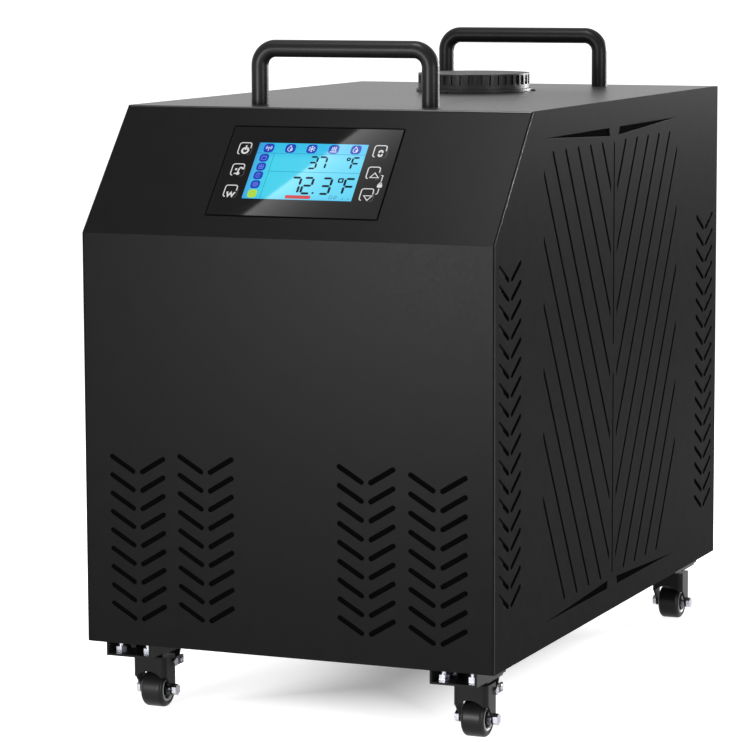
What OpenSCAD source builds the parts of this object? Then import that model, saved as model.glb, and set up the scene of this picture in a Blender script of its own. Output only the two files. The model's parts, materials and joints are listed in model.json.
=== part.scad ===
// Free-standing water chiller on casters: sheet-metal cabinet, sloped display face,
// screw-capped filter on top and a closed cooling circuit inside.
// X runs across the width, Y from the front to the back, Z upwards.
// The origin is on the floor, under the middle of the overall outline.

/* [Cabinet] */
// Width of the cabinet
body_w = 400; // [390:1:440]
// Depth of the cabinet
body_d = 648; // [640:1:700]
// Height of the cabinet from its underside to its top
body_h = 488; // [480:1:540]
// Height of the upright front face
front_h = 377; // [365:1:385]
// Depth taken up by the sloped face
slope_d = 96; // [90:1:110]
// Thickness of the sheet metal
sheet_t = 1.5; // [1:0.1:2]
// Height of the upturned rim of the base pan
pan_rim = 18; // [12:1:24]

/* [Vents] */
// Width of a vent slot
slot_w = 4.2; // [3:0.1:5]
// Distance between the end centres of a slot
slot_len = 24.8; // [20:0.2:26]
// Slant of the short slots in degrees
slot_slant = 31; // [25:1:35]
// Vertical pitch of the short slots
slot_pitch = 17; // [14:0.5:18]
// Gap between the lower ends of a slot pair
slot_gap = 9; // [7:0.5:12]
// Rows of short slots on the front
front_rows = 9; // [4:1:9]
// Rows of short slots on each side
side_rows = 18; // [8:1:18]
// Width of the long slits of the side pattern
slit_w = 3.6; // [2.5:0.1:4]
// Slant of the long slits in degrees
slit_slant = 60; // [58:1:61]
// Horizontal pitch of the long slits
slit_pitch = 34; // [33:0.5:35]

/* [Display] */
// Width of the display glass
glass_w = 166; // [150:1:180]
// Height of the display glass along the slope
glass_h = 99.5; // [90:0.5:104]
// Thickness of the display glass
glass_t = 3; // [2:0.5:4]
// Distance of the glass centre up the slope
glass_up = 74; // [70:1:76]
// Width of the visible liquid crystal area
lcd_w = 107; // [90:1:110]
// Height of the visible liquid crystal area
lcd_h = 63; // [55:1:66]

/* [Handles] */
// Diameter of the handle bar
bar_d = 16; // [12:0.5:18]
// Distance between the legs of a handle
handle_span = 170; // [140:1:180]
// Height of a handle above the cabinet top
handle_h = 60; // [50:1:70]
// Bend radius of a handle at its centre line
handle_bend = 16; // [14:1:20]
// Distance of each handle from the near edge of the top
handle_inset = 42; // [38:1:48]

/* [Filter] */
// Diameter of the screw cap
cap_d = 112; // [108:1:118]
// Height of the screw cap
cap_h = 15; // [13:0.5:18]
// Number of grip recesses round the cap
cap_grips = 40; // [24:1:44]
// Distance of the filter from the back of the cabinet
filter_back = 182; // [176:1:190]
// Outer diameter of the filter bowl
bowl_d = 100; // [96:1:104]
// Depth of the filter bowl below the cabinet top
bowl_depth = 256; // [230:1:266]

/* [Casters] */
// Diameter of a caster wheel
wheel_d = 34; // [32:1:38]
// Width of a caster wheel
wheel_w = 22; // [18:1:24]
// Height of a caster from the floor to the top of its plate
caster_h = 58.3; // [57:0.1:62]
// Distance of the wheel axle behind the swivel axis
trail = 12; // [11:0.5:14]
// Turn of the casters at rest in degrees
caster_turn = 0; // [-20:1:20]
// Distance of the swivel axes from the cabinet's sides
caster_side = 40; // [36:1:50]
// Distance of the front swivel axes from the front face
caster_front = 50; // [48:1:60]
// Distance of the rear swivel axes from the back face
caster_rear = 28; // [26:1:40]
// Height of the channel between a caster and the cabinet
riser_h = 12.7; // [12:0.1:16]
// Width of the channel
riser_w = 45; // [44:1:48]
// Length of the channel
riser_len = 72; // [68:1:74]

/* [Rear connections] */
// Thread outer diameter of the water ports
port_d = 26.4; // [20.9:0.1:33.2]
// Length of the threaded stub of a water port
port_len = 18; // [14:1:24]
// Height of the water ports above the cabinet's underside
port_up = 270; // [262:1:276]

/* [Cooling circuit] */
// Diameter of the compressor shell
comp_d = 124; // [110:1:130]
// Height of the compressor shell
comp_h = 236; // [200:1:250]
// Diameter of the fan
fan_d = 216; // [200:1:220]
// Number of fan blades
fan_blades = 5; // [3:1:7]
// Height of the heat exchanger barrel
barrel_h = 290; // [284:1:310]
// Number of condenser fins
fin_count = 24; // [10:1:30]
// Distance of the heat exchanger from the back of the cabinet
barrel_back = 130; // [128:1:134]

/* [Hidden] */
$fn = 64;

// Shared clearances and cut allowances
overrun = 1;
fit_gap = 0.3;
run_gap = 0.05;
hole_gap = 0.15;

// Levels and planes of the cabinet
port_collar_t = 6;
port_out = port_len + port_collar_t;
under_z = caster_h + riser_h;
top_z = under_z + body_h;
bend_z = under_z + front_h;
front_y = -(body_d + port_out) / 2;
back_y = front_y + body_d;
edge_y = front_y + slope_d;
side_x = body_w / 2;
caster_x = side_x - caster_side;
inner_x = side_x - sheet_t;
floor_in = under_z + sheet_t;
slope_rise = body_h - front_h;
slope_tilt = atan2(slope_rise, slope_d);
slope_run = slope_d / slope_rise;

// Corner places of the casters: front left, front right, rear left, rear right
caster_front_y = front_y + caster_front;
caster_rear_y = back_y - caster_rear;
CORNERS = [[-caster_x, caster_front_y], [caster_x, caster_front_y],
    [-caster_x, caster_rear_y], [caster_x, caster_rear_y]];

// Fasteners
m6_r = 3;
m6_head_r = 5.4;
m6_head_h = 4;
m6_nut_h = 5;
m4_r = 2;
m4_head_r = 4;
m4_head_h = 2.4;
pan_hole_r = m6_r + hole_gap;

// Bolts of a caster, measured from its swivel axis
bolt_dx = 14;
bolt_dy = 15;
front_bolt_dy = 34;
bolt_rows = [-front_bolt_dy, -bolt_dy, bolt_dy];
module at_bolts(rows) {
    for (place = CORNERS, x = [-1, 1], y = rows)
        translate([place[0] + x * bolt_dx, place[1] + y, 0]) children();
}

// Points along an arc about a centre
arc_steps = 6;
function arc(centre, r, from, to) = [for (i = [0 : arc_steps])
    let (turn = from + (to - from) * i / arc_steps) centre + r * [cos(turn), sin(turn)]];

// The end of a slot: round, or cut square to X
function slot_end(tip, turn, w, is_round) = is_round
    ? arc(tip, w / 2, turn - 90, turn + 90)
    : let (half = w / (2 * cos(turn))) [tip - [0, half], tip + [0, half]];

// A slot between two points, with each end round or cut
module slot2d(a, b, w, round_a = true, round_b = true) {
    turn = atan2(b[1] - a[1], b[0] - a[0]);
    polygon(concat(slot_end(b, turn, w, round_b), slot_end(a, turn + 180, w, round_a)));
}

// A column of paired slots that point down at its middle line
module chevrons2d(rows) {
    run = slot_len * cos(slot_slant);
    drop = slot_len * sin(slot_slant);
    for (row = [0 : rows - 1], way = [-1, 1])
        slot2d([way * (slot_gap / 2 + run), -row * slot_pitch],
            [way * slot_gap / 2, -row * slot_pitch - drop], slot_w);
}

// A sheet in the XZ plane that faces the front, its back face on y
module xz_sheet(y, t) {
    translate([0, y, 0]) rotate([90, 0, 0]) linear_extrude(t) children();
}

// A sheet in the YZ plane whose lower X face is on x
module yz_sheet(x, t) {
    translate([x, 0, 0]) rotate([90, 0, 90]) linear_extrude(t) children();
}

// The frame of the sloped face: X across, Y up the slope, Z out of the face
module on_slope() {
    translate([0, front_y, bend_z]) rotate([slope_tilt, 0, 0]) children();
}

// A straight round bar between two points
module bar(a, b, d) {
    along = b - a;
    translate(a) rotate([0, acos(along[2] / norm(along)), atan2(along[1], along[0])])
        cylinder(d = d, h = norm(along));
}

// A quarter bend from one direction into another, whose corner point is given
module bend(corner, go_in, go_out, d, r) {
    side = cross(go_in, go_out);
    centre = corner - go_in * r + go_out * r;
    multmatrix([for (i = [0 : 2]) [-go_out[i], go_in[i], side[i], centre[i]]])
        rotate_extrude(angle = 90) translate([r, 0]) circle(d = d);
}

// A bar through a row of points with square turns, bent at a radius
module bent_bar(points, d, r) {
    last = len(points) - 1;
    ways = [for (i = [1 : last]) (points[i] - points[i - 1]) / norm(points[i] - points[i - 1])];
    for (i = [1 : last])
        bar(points[i - 1] + (i > 1 ? r : 0) * ways[i - 1],
            points[i] - (i < last ? r : 0) * ways[i - 1], d);
    for (i = [1 : last - 1]) bend(points[i], ways[i - 1], ways[i], d, r);
}

// Base pan
module base_pan() {
    pan_d = body_d - 2 * sheet_t;
    color([0.10, 0.10, 0.11])
    difference() {
        translate([-inner_x, front_y + sheet_t, under_z]) cube([2 * inner_x, pan_d, pan_rim]);
        translate([-inner_x + sheet_t, front_y + 2 * sheet_t, floor_in])
            cube([2 * (inner_x - sheet_t), pan_d - 2 * sheet_t, pan_rim]);
        at_bolts(bolt_rows) translate([0, 0, under_z - overrun])
            cylinder(r = pan_hole_r, h = sheet_t + 2 * overrun);
    }
}

// Outline of the folded front: upright face, bend and slope, one sheet thick
fold_in = (1 - sin(slope_tilt)) / cos(slope_tilt) * sheet_t;
cover_top_z = top_z - sheet_t;
module front_profile() {
    slope_out_y = edge_y - sheet_t * slope_run;
    slope_in_y = slope_out_y + sheet_t / sin(slope_tilt);
    polygon([[front_y, under_z], [front_y, bend_z], [slope_out_y, cover_top_z],
        [slope_in_y, cover_top_z], [front_y + sheet_t, bend_z - fold_in],
        [front_y + sheet_t, under_z]]);
}

// Places of the four vent columns on the front
front_vent_up = 173.4;
inner_column_up = 3.5;
column_side = 53.2;
column_pitch = 68.3;
outer_column = side_x - column_side;
inner_column = outer_column - column_pitch;
front_columns = [[-outer_column, 0], [-inner_column, inner_column_up],
    [inner_column, inner_column_up], [outer_column, 0]];
module front_cover() {
    color([0.13, 0.13, 0.14])
    difference() {
        yz_sheet(-inner_x, 2 * inner_x) front_profile();
        xz_sheet(front_y + sheet_t + overrun, sheet_t + 2 * overrun)
            for (column = front_columns)
                translate([column[0], under_z + front_vent_up + column[1]])
                    chevrons2d(front_rows);
        on_slope() translate([-glass_w / 2 - fit_gap, glass_up - glass_h / 2 - fit_gap,
            -sheet_t - overrun])
            cube([glass_w + 2 * fit_gap, glass_h + 2 * fit_gap, sheet_t + 2 * overrun]);
    }
}

// Side panel outline and its pattern, drawn with Y as X and Z as Y
vent_ahead = 7;
vent_mid = body_d / 2 - vent_ahead;
vent_low = 36.5;
vent_high = 448.5;
vent_margin = 130;
vent_half = body_d / 2 - vent_margin;
centre_gap = 9;
slit_step = slit_pitch * tan(slit_slant);
first_slit = 137;
slit_count = 11;
wedge_side = 34;
wedge_len = vent_half - wedge_side;
wedge_tip = 7.4;
wedge_gap = 30;
wedge_out = 14;
side_column_front = 37.4;
side_column_rear = 42.2;
side_column_up = 357.2;
module side_profile() {
    polygon([[front_y, under_z], [back_y, under_z], [back_y, top_z], [edge_y, top_z],
        [front_y, bend_z]]);
}

// One half of the long pattern: slits that fall towards the middle line
module half_pattern() {
    slope = tan(slit_slant);
    span = vent_half - centre_gap;
    for (i = [0 : slit_count - 1]) {
        start_z = first_slit + i * slit_step;
        low_z = start_z - span * slope;
        at_top = start_z > vent_high;
        at_foot = low_z < vent_low;
        high_y = at_top ? (start_z - vent_high) / slope : 0;
        low_y = at_foot ? span - (vent_low - low_z) / slope : span;
        high = [high_y - vent_half, start_z - high_y * slope];
        low = [low_y - vent_half, start_z - low_y * slope];
        if (low_y - high_y > slit_w) slot2d(high, low, slit_w, at_top, at_foot);
    }
}

// A long thin wedge above or below the slits
module wedge2d() {
    polygon([[-wedge_gap / 2 - wedge_len - wedge_out / 2, 0], [-wedge_gap / 2, 0],
        [-wedge_gap / 2 + wedge_out / 7, -wedge_tip]]);
}

module side_pattern() {
    middle = (vent_high + vent_low) / 2;
    for (way = [0, 1]) mirror([way, 0]) {
        half_pattern();
        translate([0, vent_high + wedge_out]) wedge2d();
        translate([0, vent_low - wedge_out]) mirror([0, 1]) wedge2d();
    }
    for (low = [vent_low, middle + wedge_out])
        translate([-slit_w / 3, low]) square([2 * slit_w / 3, middle - vent_low - wedge_out]);
}

module side_panel(way) {
    color([0.13, 0.13, 0.14])
    difference() {
        yz_sheet(way > 0 ? inner_x : -side_x, sheet_t) side_profile();
        yz_sheet((way > 0 ? inner_x : -side_x) - overrun, sheet_t + 2 * overrun)
            translate([front_y, under_z]) {
                translate([vent_mid, 0]) side_pattern();
                translate([side_column_front, side_column_up]) chevrons2d(side_rows);
                translate([body_d - side_column_rear, side_column_up]) chevrons2d(side_rows);
            }
    }
}

module left_side_panel() side_panel(-1);
module right_side_panel() side_panel(1);

// Top panel with its holes for the filter neck and the handle screws
handle_ys = [edge_y + handle_inset, back_y - handle_inset];
filter_y = back_y - filter_back;
neck_wall = 4;
neck_r = bowl_d / 2;
neck_hole_r = neck_r + hole_gap;
module top_panel() {
    color([0.14, 0.14, 0.15])
    difference() {
        yz_sheet(-inner_x, 2 * inner_x)
            polygon([[edge_y, top_z], [back_y, top_z], [back_y, cover_top_z],
                [edge_y - sheet_t * slope_run, cover_top_z]]);
        translate([0, filter_y, cover_top_z - overrun])
            cylinder(r = neck_hole_r, h = sheet_t + 2 * overrun);
        for (y = handle_ys, way = [-1, 1])
            translate([way * handle_span / 2, y, cover_top_z - overrun])
                cylinder(r = m6_r + hole_gap, h = sheet_t + 2 * overrun);
    }
}

// Rear panel with the ports, the gland, the screw holes and the vents
post_w = 22;
barrel_gap = 11.5;
barrel_rim = 4;
barrel_d = inner_x - sheet_t - neck_r - 2 * (barrel_gap + barrel_rim);
inlet_x = 90;
outlet_x = -neck_r - barrel_gap - barrel_rim - barrel_d / 2;
port_z = under_z + port_up;
gland_up = 60;
gland_r = 11;
gland_collar_r = gland_r * 1.3;
gland_gap = 12.2;
gland_x = inner_x - post_w - gland_collar_r - gland_gap;
port_hole_r = 14;
rear_vent_up = 225;
rear_first_x = -100;
rear_columns = [rear_first_x, rear_first_x + column_pitch, rear_first_x + 2 * column_pitch];
rear_screw_share = [0.08, 0.36, 0.64, 0.92];
rear_screw_x = inner_x - post_w / 2;
module rear_screw_places() {
    for (way = [-1, 1], share = rear_screw_share)
        translate([way * rear_screw_x, back_y, under_z + share * body_h])
            rotate([90, 0, 0]) children();
}
module rear_panel() {
    color([0.12, 0.12, 0.13])
    difference() {
        xz_sheet(back_y, sheet_t)
            translate([-inner_x, under_z]) square([2 * inner_x, body_h - sheet_t]);
        for (x = [inlet_x, outlet_x]) translate([x, back_y + overrun, port_z])
            rotate([90, 0, 0]) cylinder(r = port_hole_r + hole_gap, h = sheet_t + 2 * overrun);
        translate([gland_x, back_y + overrun, under_z + gland_up])
            rotate([90, 0, 0]) cylinder(r = gland_r + hole_gap, h = sheet_t + 2 * overrun);
        rear_screw_places() translate([0, 0, -overrun])
            cylinder(r = m4_r + hole_gap, h = sheet_t + 2 * overrun);
        xz_sheet(back_y + overrun, sheet_t + 2 * overrun)
            for (x = rear_columns) translate([x, under_z + rear_vent_up]) chevrons2d(front_rows);
    }
}

// Inner frame: four posts, side rails, slanted rails and two cross rails
frame_t = 2;
rail_z = cover_top_z - post_w;
front_post_h = front_h - 2 * post_w;
module corner_post(way, y, y_way, h) {
    x = inner_x * way;
    translate([way > 0 ? x - post_w : x, y_way > 0 ? y : y - frame_t, floor_in])
        cube([post_w, frame_t, h]);
    translate([way > 0 ? x - frame_t : x, y_way > 0 ? y : y - post_w, floor_in])
        cube([frame_t, post_w, h]);
}
module inner_frame() {
    rear_y = back_y - sheet_t;
    pan_in = sheet_t;
    rear_post_h = cover_top_z - floor_in;
    rail_y = edge_y + post_w;
    color([0.45, 0.46, 0.48])
    difference() {
        union() {
            for (way = [-1, 1]) {
                corner_post(way, rear_y, -1, rear_post_h);
                corner_post(way, front_y + sheet_t, 1, front_post_h);
                translate([way > 0 ? inner_x - frame_t : -inner_x, rail_y - post_w, rail_z])
                    cube([frame_t, rear_y - rail_y + post_w, post_w]);
                intersection() {
                    yz_sheet(way > 0 ? inner_x - frame_t : -inner_x, frame_t)
                        polygon([[front_y + sheet_t, floor_in + front_post_h - post_w],
                            [edge_y + post_w, rail_z], [edge_y + post_w, cover_top_z],
                            [edge_y + sheet_t, cover_top_z],
                            [front_y + sheet_t, bend_z - fold_in - sheet_t]]);
                    yz_sheet(-inner_x, 2 * inner_x)
                        polygon([[front_y + sheet_t, under_z], [front_y + sheet_t, bend_z - fold_in],
                            [edge_y - sheet_t * slope_run + sheet_t / sin(slope_tilt), cover_top_z],
                            [back_y, cover_top_z], [back_y, under_z]]);
                }
            }
            for (y = [rail_y - frame_t, rear_y - frame_t])
                translate([-inner_x, y, rail_z]) cube([2 * inner_x, frame_t, post_w]);
        }
        // Room for the rim of the base pan
        translate([-inner_x - overrun, front_y + sheet_t - overrun, under_z])
            cube([2 * (inner_x + overrun), pan_in + overrun, pan_rim]);
        translate([-inner_x - overrun, rear_y - pan_in, under_z])
            cube([2 * (inner_x + overrun), pan_in + overrun, pan_rim]);
        for (way = [-1, 1]) translate([way > 0 ? inner_x - pan_in : -inner_x - overrun,
            front_y, under_z]) cube([pan_in + overrun, body_d, pan_rim]);
        rear_screw_places() cylinder(r = m4_r + hole_gap, h = sheet_t + frame_t + overrun);
    }
}

// Foam dust filters between the posts: one behind each side panel, one behind the front vents
pad_t = 3;
pad_low = under_z + pan_rim;
module dust_filters() {
    front_in = front_y + sheet_t;
    slant_low = floor_in + front_post_h - post_w;
    slant = (rail_z - slant_low) / (edge_y + post_w - front_in);
    half = inner_x - post_w;
    color([0.05, 0.05, 0.05]) {
        for (way = [-1, 1]) yz_sheet(way > 0 ? inner_x - pad_t : -inner_x, pad_t)
            polygon([[front_in + post_w, pad_low], [back_y - sheet_t - post_w, pad_low],
                [back_y - sheet_t - post_w, rail_z], [edge_y + post_w, rail_z],
                [front_in + post_w, slant_low + post_w * slant]]);
        xz_sheet(front_in + pad_t, pad_t) translate([-half, pad_low])
            square([2 * half, front_vent_up + slot_pitch - pan_rim]);
    }
}

// Screws of the rear panel and of the handles
handle_screw_len = 14;
module cabinet_screws() {
    color([0.70, 0.71, 0.73]) {
        rear_screw_places() {
            translate([0, 0, -m4_head_h]) cylinder(r = m4_head_r, h = m4_head_h);
            cylinder(r = m4_r, h = sheet_t + 2 * frame_t);
        }
        for (y = handle_ys, way = [-1, 1]) translate([way * handle_span / 2, y, cover_top_z]) {
            translate([0, 0, -m6_head_h]) cylinder(r = m6_head_r, h = m6_head_h);
            cylinder(r = m6_r, h = sheet_t + handle_screw_len);
        }
    }
}

// A bent round handle with a blind screw hole in each foot
module handle(y) {
    leg_h = handle_h - bar_d / 2 - handle_bend;
    half = handle_span / 2;
    color([0.07, 0.07, 0.07])
    translate([0, y, top_z])
    difference() {
        union() {
            for (way = [0, 1]) mirror([way, 0, 0]) {
                translate([half, 0, 0]) cylinder(d = bar_d, h = leg_h);
                translate([half - handle_bend, 0, leg_h]) rotate([90, 0, 0])
                    rotate_extrude(angle = 90) translate([handle_bend, 0]) circle(d = bar_d);
            }
            translate([-half + handle_bend, 0, leg_h + handle_bend]) rotate([0, 90, 0])
                cylinder(d = bar_d, h = 2 * (half - handle_bend));
        }
        for (way = [-1, 1]) translate([way * half, 0, -overrun])
            cylinder(r = m6_r + run_gap, h = handle_screw_len + 2 * overrun);
    }
}
module front_handle() handle(handle_ys[0]);
module rear_handle() handle(handle_ys[1]);

// Display glass and what is behind it, in the frame of the slope
glass_proud = 0.3;
glass_back = glass_proud - glass_t;
lcd_edge = 4;
lcd_t = 6;
board_t = 1.6;
board_side = 8;
board_edge = 7;
board_w = glass_w - 2 * board_side;
board_h = glass_h - 2 * board_edge;
tray_wall = 3;
tray_depth = 22;
ledge = 6;
module slope_block(w, h, low, high) {
    translate([-w / 2, glass_up - h / 2, low]) cube([w, h, high - low]);
}
module display_glass() {
    color([0.05, 0.05, 0.06]) on_slope() slope_block(glass_w, glass_h, glass_back, glass_proud);
}
module lcd_module() {
    color([0.30, 0.72, 0.90]) on_slope()
        slope_block(lcd_w + 2 * lcd_edge, lcd_h + 2 * lcd_edge, glass_back - lcd_t, glass_back);
}
module display_board() {
    low = glass_back - lcd_t - board_t;
    color([0.10, 0.40, 0.20]) on_slope() slope_block(board_w, board_h, low, low + board_t);
}
module display_housing() {
    board_low = glass_back - lcd_t - board_t;
    color([0.08, 0.08, 0.08]) on_slope() {
        difference() {
            slope_block(glass_w + 2 * (fit_gap + tray_wall), glass_h + 2 * (fit_gap + tray_wall),
                -tray_depth, -sheet_t);
            slope_block(glass_w + 2 * fit_gap, glass_h + 2 * fit_gap, glass_back, overrun);
            slope_block(glass_w - 2 * ledge, glass_h - 2 * ledge, tray_wall - tray_depth, overrun);
        }
        for (x = [-1, 1], y = [-1, 1])
            translate([x * board_w * 0.45, glass_up + y * board_h * 0.42, tray_wall - tray_depth])
                cylinder(r = 2 * board_t, h = board_low + tray_depth - tray_wall);
    }
}

// Filter bowl, cartridge, collar, seal and screw cap
collar_t = 3;
collar_out = 2;
collar_r = cap_d / 2 + collar_out;
neck_up = collar_t + cap_h * 0.7;
bowl_floor = 5;
bowl_z = cover_top_z - bowl_depth;
flange_out = 12;
flange_r = neck_r + flange_out;
flange_t = 5;
seal_t = 1.5;
cap_z = top_z + collar_t + fit_gap;
cartridge_h = bowl_depth * 0.86;
cartridge_gap = 4;
cartridge_r = neck_r - neck_wall - cartridge_gap;
core_r = 14;
stub_r = 9;
stub_bore_r = 6.5;
stub_len = 14;
module filter_bowl() {
    color([0.12, 0.12, 0.13])
    translate([0, filter_y, 0])
    difference() {
        union() {
            translate([0, 0, bowl_z]) cylinder(r = neck_r, h = bowl_depth + sheet_t + neck_up);
            translate([0, 0, cover_top_z - flange_t]) cylinder(r = flange_r, h = flange_t);
            translate([0, 0, bowl_z - stub_len]) cylinder(r = stub_r, h = stub_len + overrun);
            translate([0, 0, port_z]) rotate([0, 90, 0])
                cylinder(r = stub_r, h = neck_r + stub_len);
        }
        translate([0, 0, bowl_z + bowl_floor])
            cylinder(r = neck_r - neck_wall, h = bowl_depth + sheet_t + neck_up);
        translate([0, 0, bowl_z - stub_len - overrun])
            cylinder(r = stub_bore_r, h = stub_len + bowl_floor + 2 * overrun);
        translate([neck_r - 2 * neck_wall, 0, port_z]) rotate([0, 90, 0])
            cylinder(r = stub_bore_r, h = 2 * neck_wall + stub_len + overrun);
    }
}
pleats = 28;
pleat_depth = cartridge_r * 0.2;
module filter_cartridge() {
    base_z = bowl_z + bowl_floor;
    end_t = bowl_floor;
    color([0.93, 0.94, 0.95])
    translate([0, filter_y, base_z])
    difference() {
        union() {
            cylinder(r = cartridge_r, h = end_t);
            translate([0, 0, cartridge_h - end_t]) cylinder(r = cartridge_r, h = end_t);
            linear_extrude(cartridge_h) polygon([for (i = [0 : 2 * pleats - 1])
                (cartridge_r - (i % 2) * pleat_depth)
                * [cos(i * 180 / pleats), sin(i * 180 / pleats)]]);
        }
        translate([0, 0, -overrun]) cylinder(r = core_r, h = cartridge_h + 2 * overrun);
    }
}
module filter_collar() {
    tab_l = 4;
    tab_w = 10;
    color([0.06, 0.06, 0.06])
    translate([0, filter_y, top_z])
    difference() {
        union() {
            cylinder(r = collar_r, h = collar_t);
            for (turn = [20, 140, 260]) rotate(turn)
                translate([0, -tab_w / 2, 0]) cube([collar_r + tab_l, tab_w, collar_t / 2]);
        }
        translate([0, 0, -overrun]) cylinder(r = neck_hole_r, h = collar_t + 2 * overrun);
    }
}
neck_top_z = top_z + neck_up;
module cap_seal() {
    color([0.15, 0.15, 0.15])
    translate([0, filter_y, neck_top_z + run_gap])
    difference() {
        cylinder(r = neck_r, h = seal_t);
        translate([0, 0, -overrun]) cylinder(r = neck_r - neck_wall, h = seal_t + 2 * overrun);
    }
}
grip_low = cap_h * 0.27;
grip_top = cap_h * 0.10;
grip_depth = 2.2;
grip_round = 1.2;
grip_w = PI * cap_d / cap_grips * 0.62;
module filter_cap() {
    hollow_h = neck_top_z + seal_t + 2 * run_gap - cap_z;
    grip_h = cap_h - grip_low - grip_top;
    color([0.05, 0.05, 0.05])
    translate([0, filter_y, cap_z])
    difference() {
        cylinder(d = cap_d, h = cap_h);
        translate([0, 0, -overrun]) cylinder(r = neck_r + run_gap, h = hollow_h + overrun);
        for (i = [0 : cap_grips - 1]) rotate(i * 360 / cap_grips)
            translate([cap_d / 2 - grip_depth, 0, grip_low]) rotate([90, 0, 90])
                linear_extrude(grip_depth + overrun) {
                    translate([-grip_w / 2, grip_round]) square([grip_w, grip_h - grip_round]);
                    translate([-grip_w / 2 + grip_round, 0])
                        square([grip_w - 2 * grip_round, grip_h]);
                    for (way = [-1, 1]) translate([way * (grip_w / 2 - grip_round), grip_round])
                        circle(r = grip_round, $fn = 24);
                }
    }
}

// Compressor on its rubber mounts, and the suction accumulator beside it
comp_front = 150;
comp_side = 23;
foot_turns = [30, 150, 270];
foot_reach = 20;
foot_r = comp_d / 2 + foot_reach;
foot_t = 4;
foot_d = 26;
comp_x = sheet_t - inner_x + comp_side + foot_d / 2 + foot_r * cos(foot_turns[0]);
comp_y = front_y + comp_front;
mount_h = 14;
comp_z = floor_in + mount_h;
comp_dome = 16;
pipe_d = 9.5;
comp_stub_h = 20;
pipe_bend = 12;
module compressor() {
    shell_h = comp_h - 2 * comp_dome;
    color([0.08, 0.08, 0.08])
    translate([comp_x, comp_y, comp_z])
    difference() {
        union() {
            translate([0, 0, comp_dome]) cylinder(d = comp_d, h = shell_h);
            translate([0, 0, foot_t]) cylinder(d1 = comp_d * 0.8, d2 = comp_d, h = comp_dome - foot_t);
            translate([0, 0, comp_dome + shell_h])
                cylinder(d1 = comp_d, d2 = comp_d * 0.7, h = comp_dome);
            cylinder(d = comp_d * 0.9, h = foot_t);
            for (turn = foot_turns) rotate(turn) {
                translate([0, -foot_d / 2, 0]) cube([foot_r, foot_d, foot_t]);
                translate([foot_r, 0, 0]) cylinder(d = foot_d, h = foot_t);
            }
            translate([0, 0, comp_h - overrun]) cylinder(d = pipe_d, h = comp_stub_h + overrun);
            translate([accum_x - comp_x, 0, accum_low - comp_z]) rotate([-90, 0, 0])
                cylinder(d = pipe_d, h = comp_d / 2 + comp_stub_h / 2);
        }
        for (turn = foot_turns) rotate(turn) translate([foot_r, 0, -overrun])
            cylinder(r = m6_r + hole_gap, h = foot_t + 2 * overrun);
    }
}
module compressor_mounts() {
    color([0.10, 0.10, 0.10])
    translate([comp_x, comp_y, floor_in])
        for (turn = foot_turns) rotate(turn) translate([foot_r, 0, 0]) {
            cylinder(d = foot_d * 0.8, h = mount_h);
            cylinder(r = m6_r, h = mount_h + foot_t + m6_nut_h);
            translate([0, 0, mount_h + foot_t]) cylinder(r = m6_head_r, h = m6_nut_h, $fn = 6);
        }
}
accum_side = 35;
accum_behind = 100;
accum_up = 62;
accum_pipe_up = 40;
accum_d = 56;
accum_h = 170;
accum_x = comp_x - accum_side;
accum_y = comp_y + accum_behind;
accum_z = floor_in + accum_up;
accum_low = floor_in + accum_pipe_up;
module accumulator() {
    strap_t = frame_t;
    color([0.08, 0.08, 0.08]) {
        translate([accum_x, accum_y, accum_z]) cylinder(d = accum_d, h = accum_h);
        // Bracket from the base pan to the back of the accumulator
        translate([accum_x - accum_d / 4, accum_y + accum_d / 2 - strap_t, floor_in])
            cube([accum_d / 2, 2 * strap_t, accum_z - floor_in + accum_h * 0.6]);
        translate([accum_x - accum_d / 4, accum_y + accum_d / 2, floor_in])
            cube([accum_d / 2, accum_d / 2, strap_t]);
    }
}

// Condenser with end plates, fins and tubes
cond_t = 38;
cond_side = 12;
cond_front = 160;
cond_x = inner_x - cond_side - cond_t;
cond_y = front_y + cond_front;
cond_d = 300;
cond_h = 300;
cond_z = floor_in + pan_rim;
cond_plate = 2;
fin_t = 0.8;
cond_tube_d = 9.5;
cond_tubes = 6;
module condenser() {
    color([0.72, 0.73, 0.74])
    translate([cond_x, cond_y, cond_z]) {
        for (y = [0, cond_d - cond_plate]) translate([0, y, 0]) cube([cond_t, cond_plate, cond_h]);
        for (z = [0, cond_h - cond_plate]) translate([0, 0, z]) cube([cond_t, cond_d, cond_plate]);
        for (y = [cond_d * 0.12, cond_d * 0.88])
            translate([0, y, -pan_rim]) cube([cond_t, cond_plate, pan_rim + overrun]);
        for (i = [1 : fin_count]) translate([0, i * cond_d / (fin_count + 1), 0])
            cube([cond_t, fin_t, cond_h]);
        for (i = [0 : cond_tubes - 1])
            translate([cond_t / 2, 0, cond_h * (i + 0.5) / cond_tubes]) rotate([-90, 0, 0])
                cylinder(d = cond_tube_d, h = cond_d);
    }
}

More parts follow.
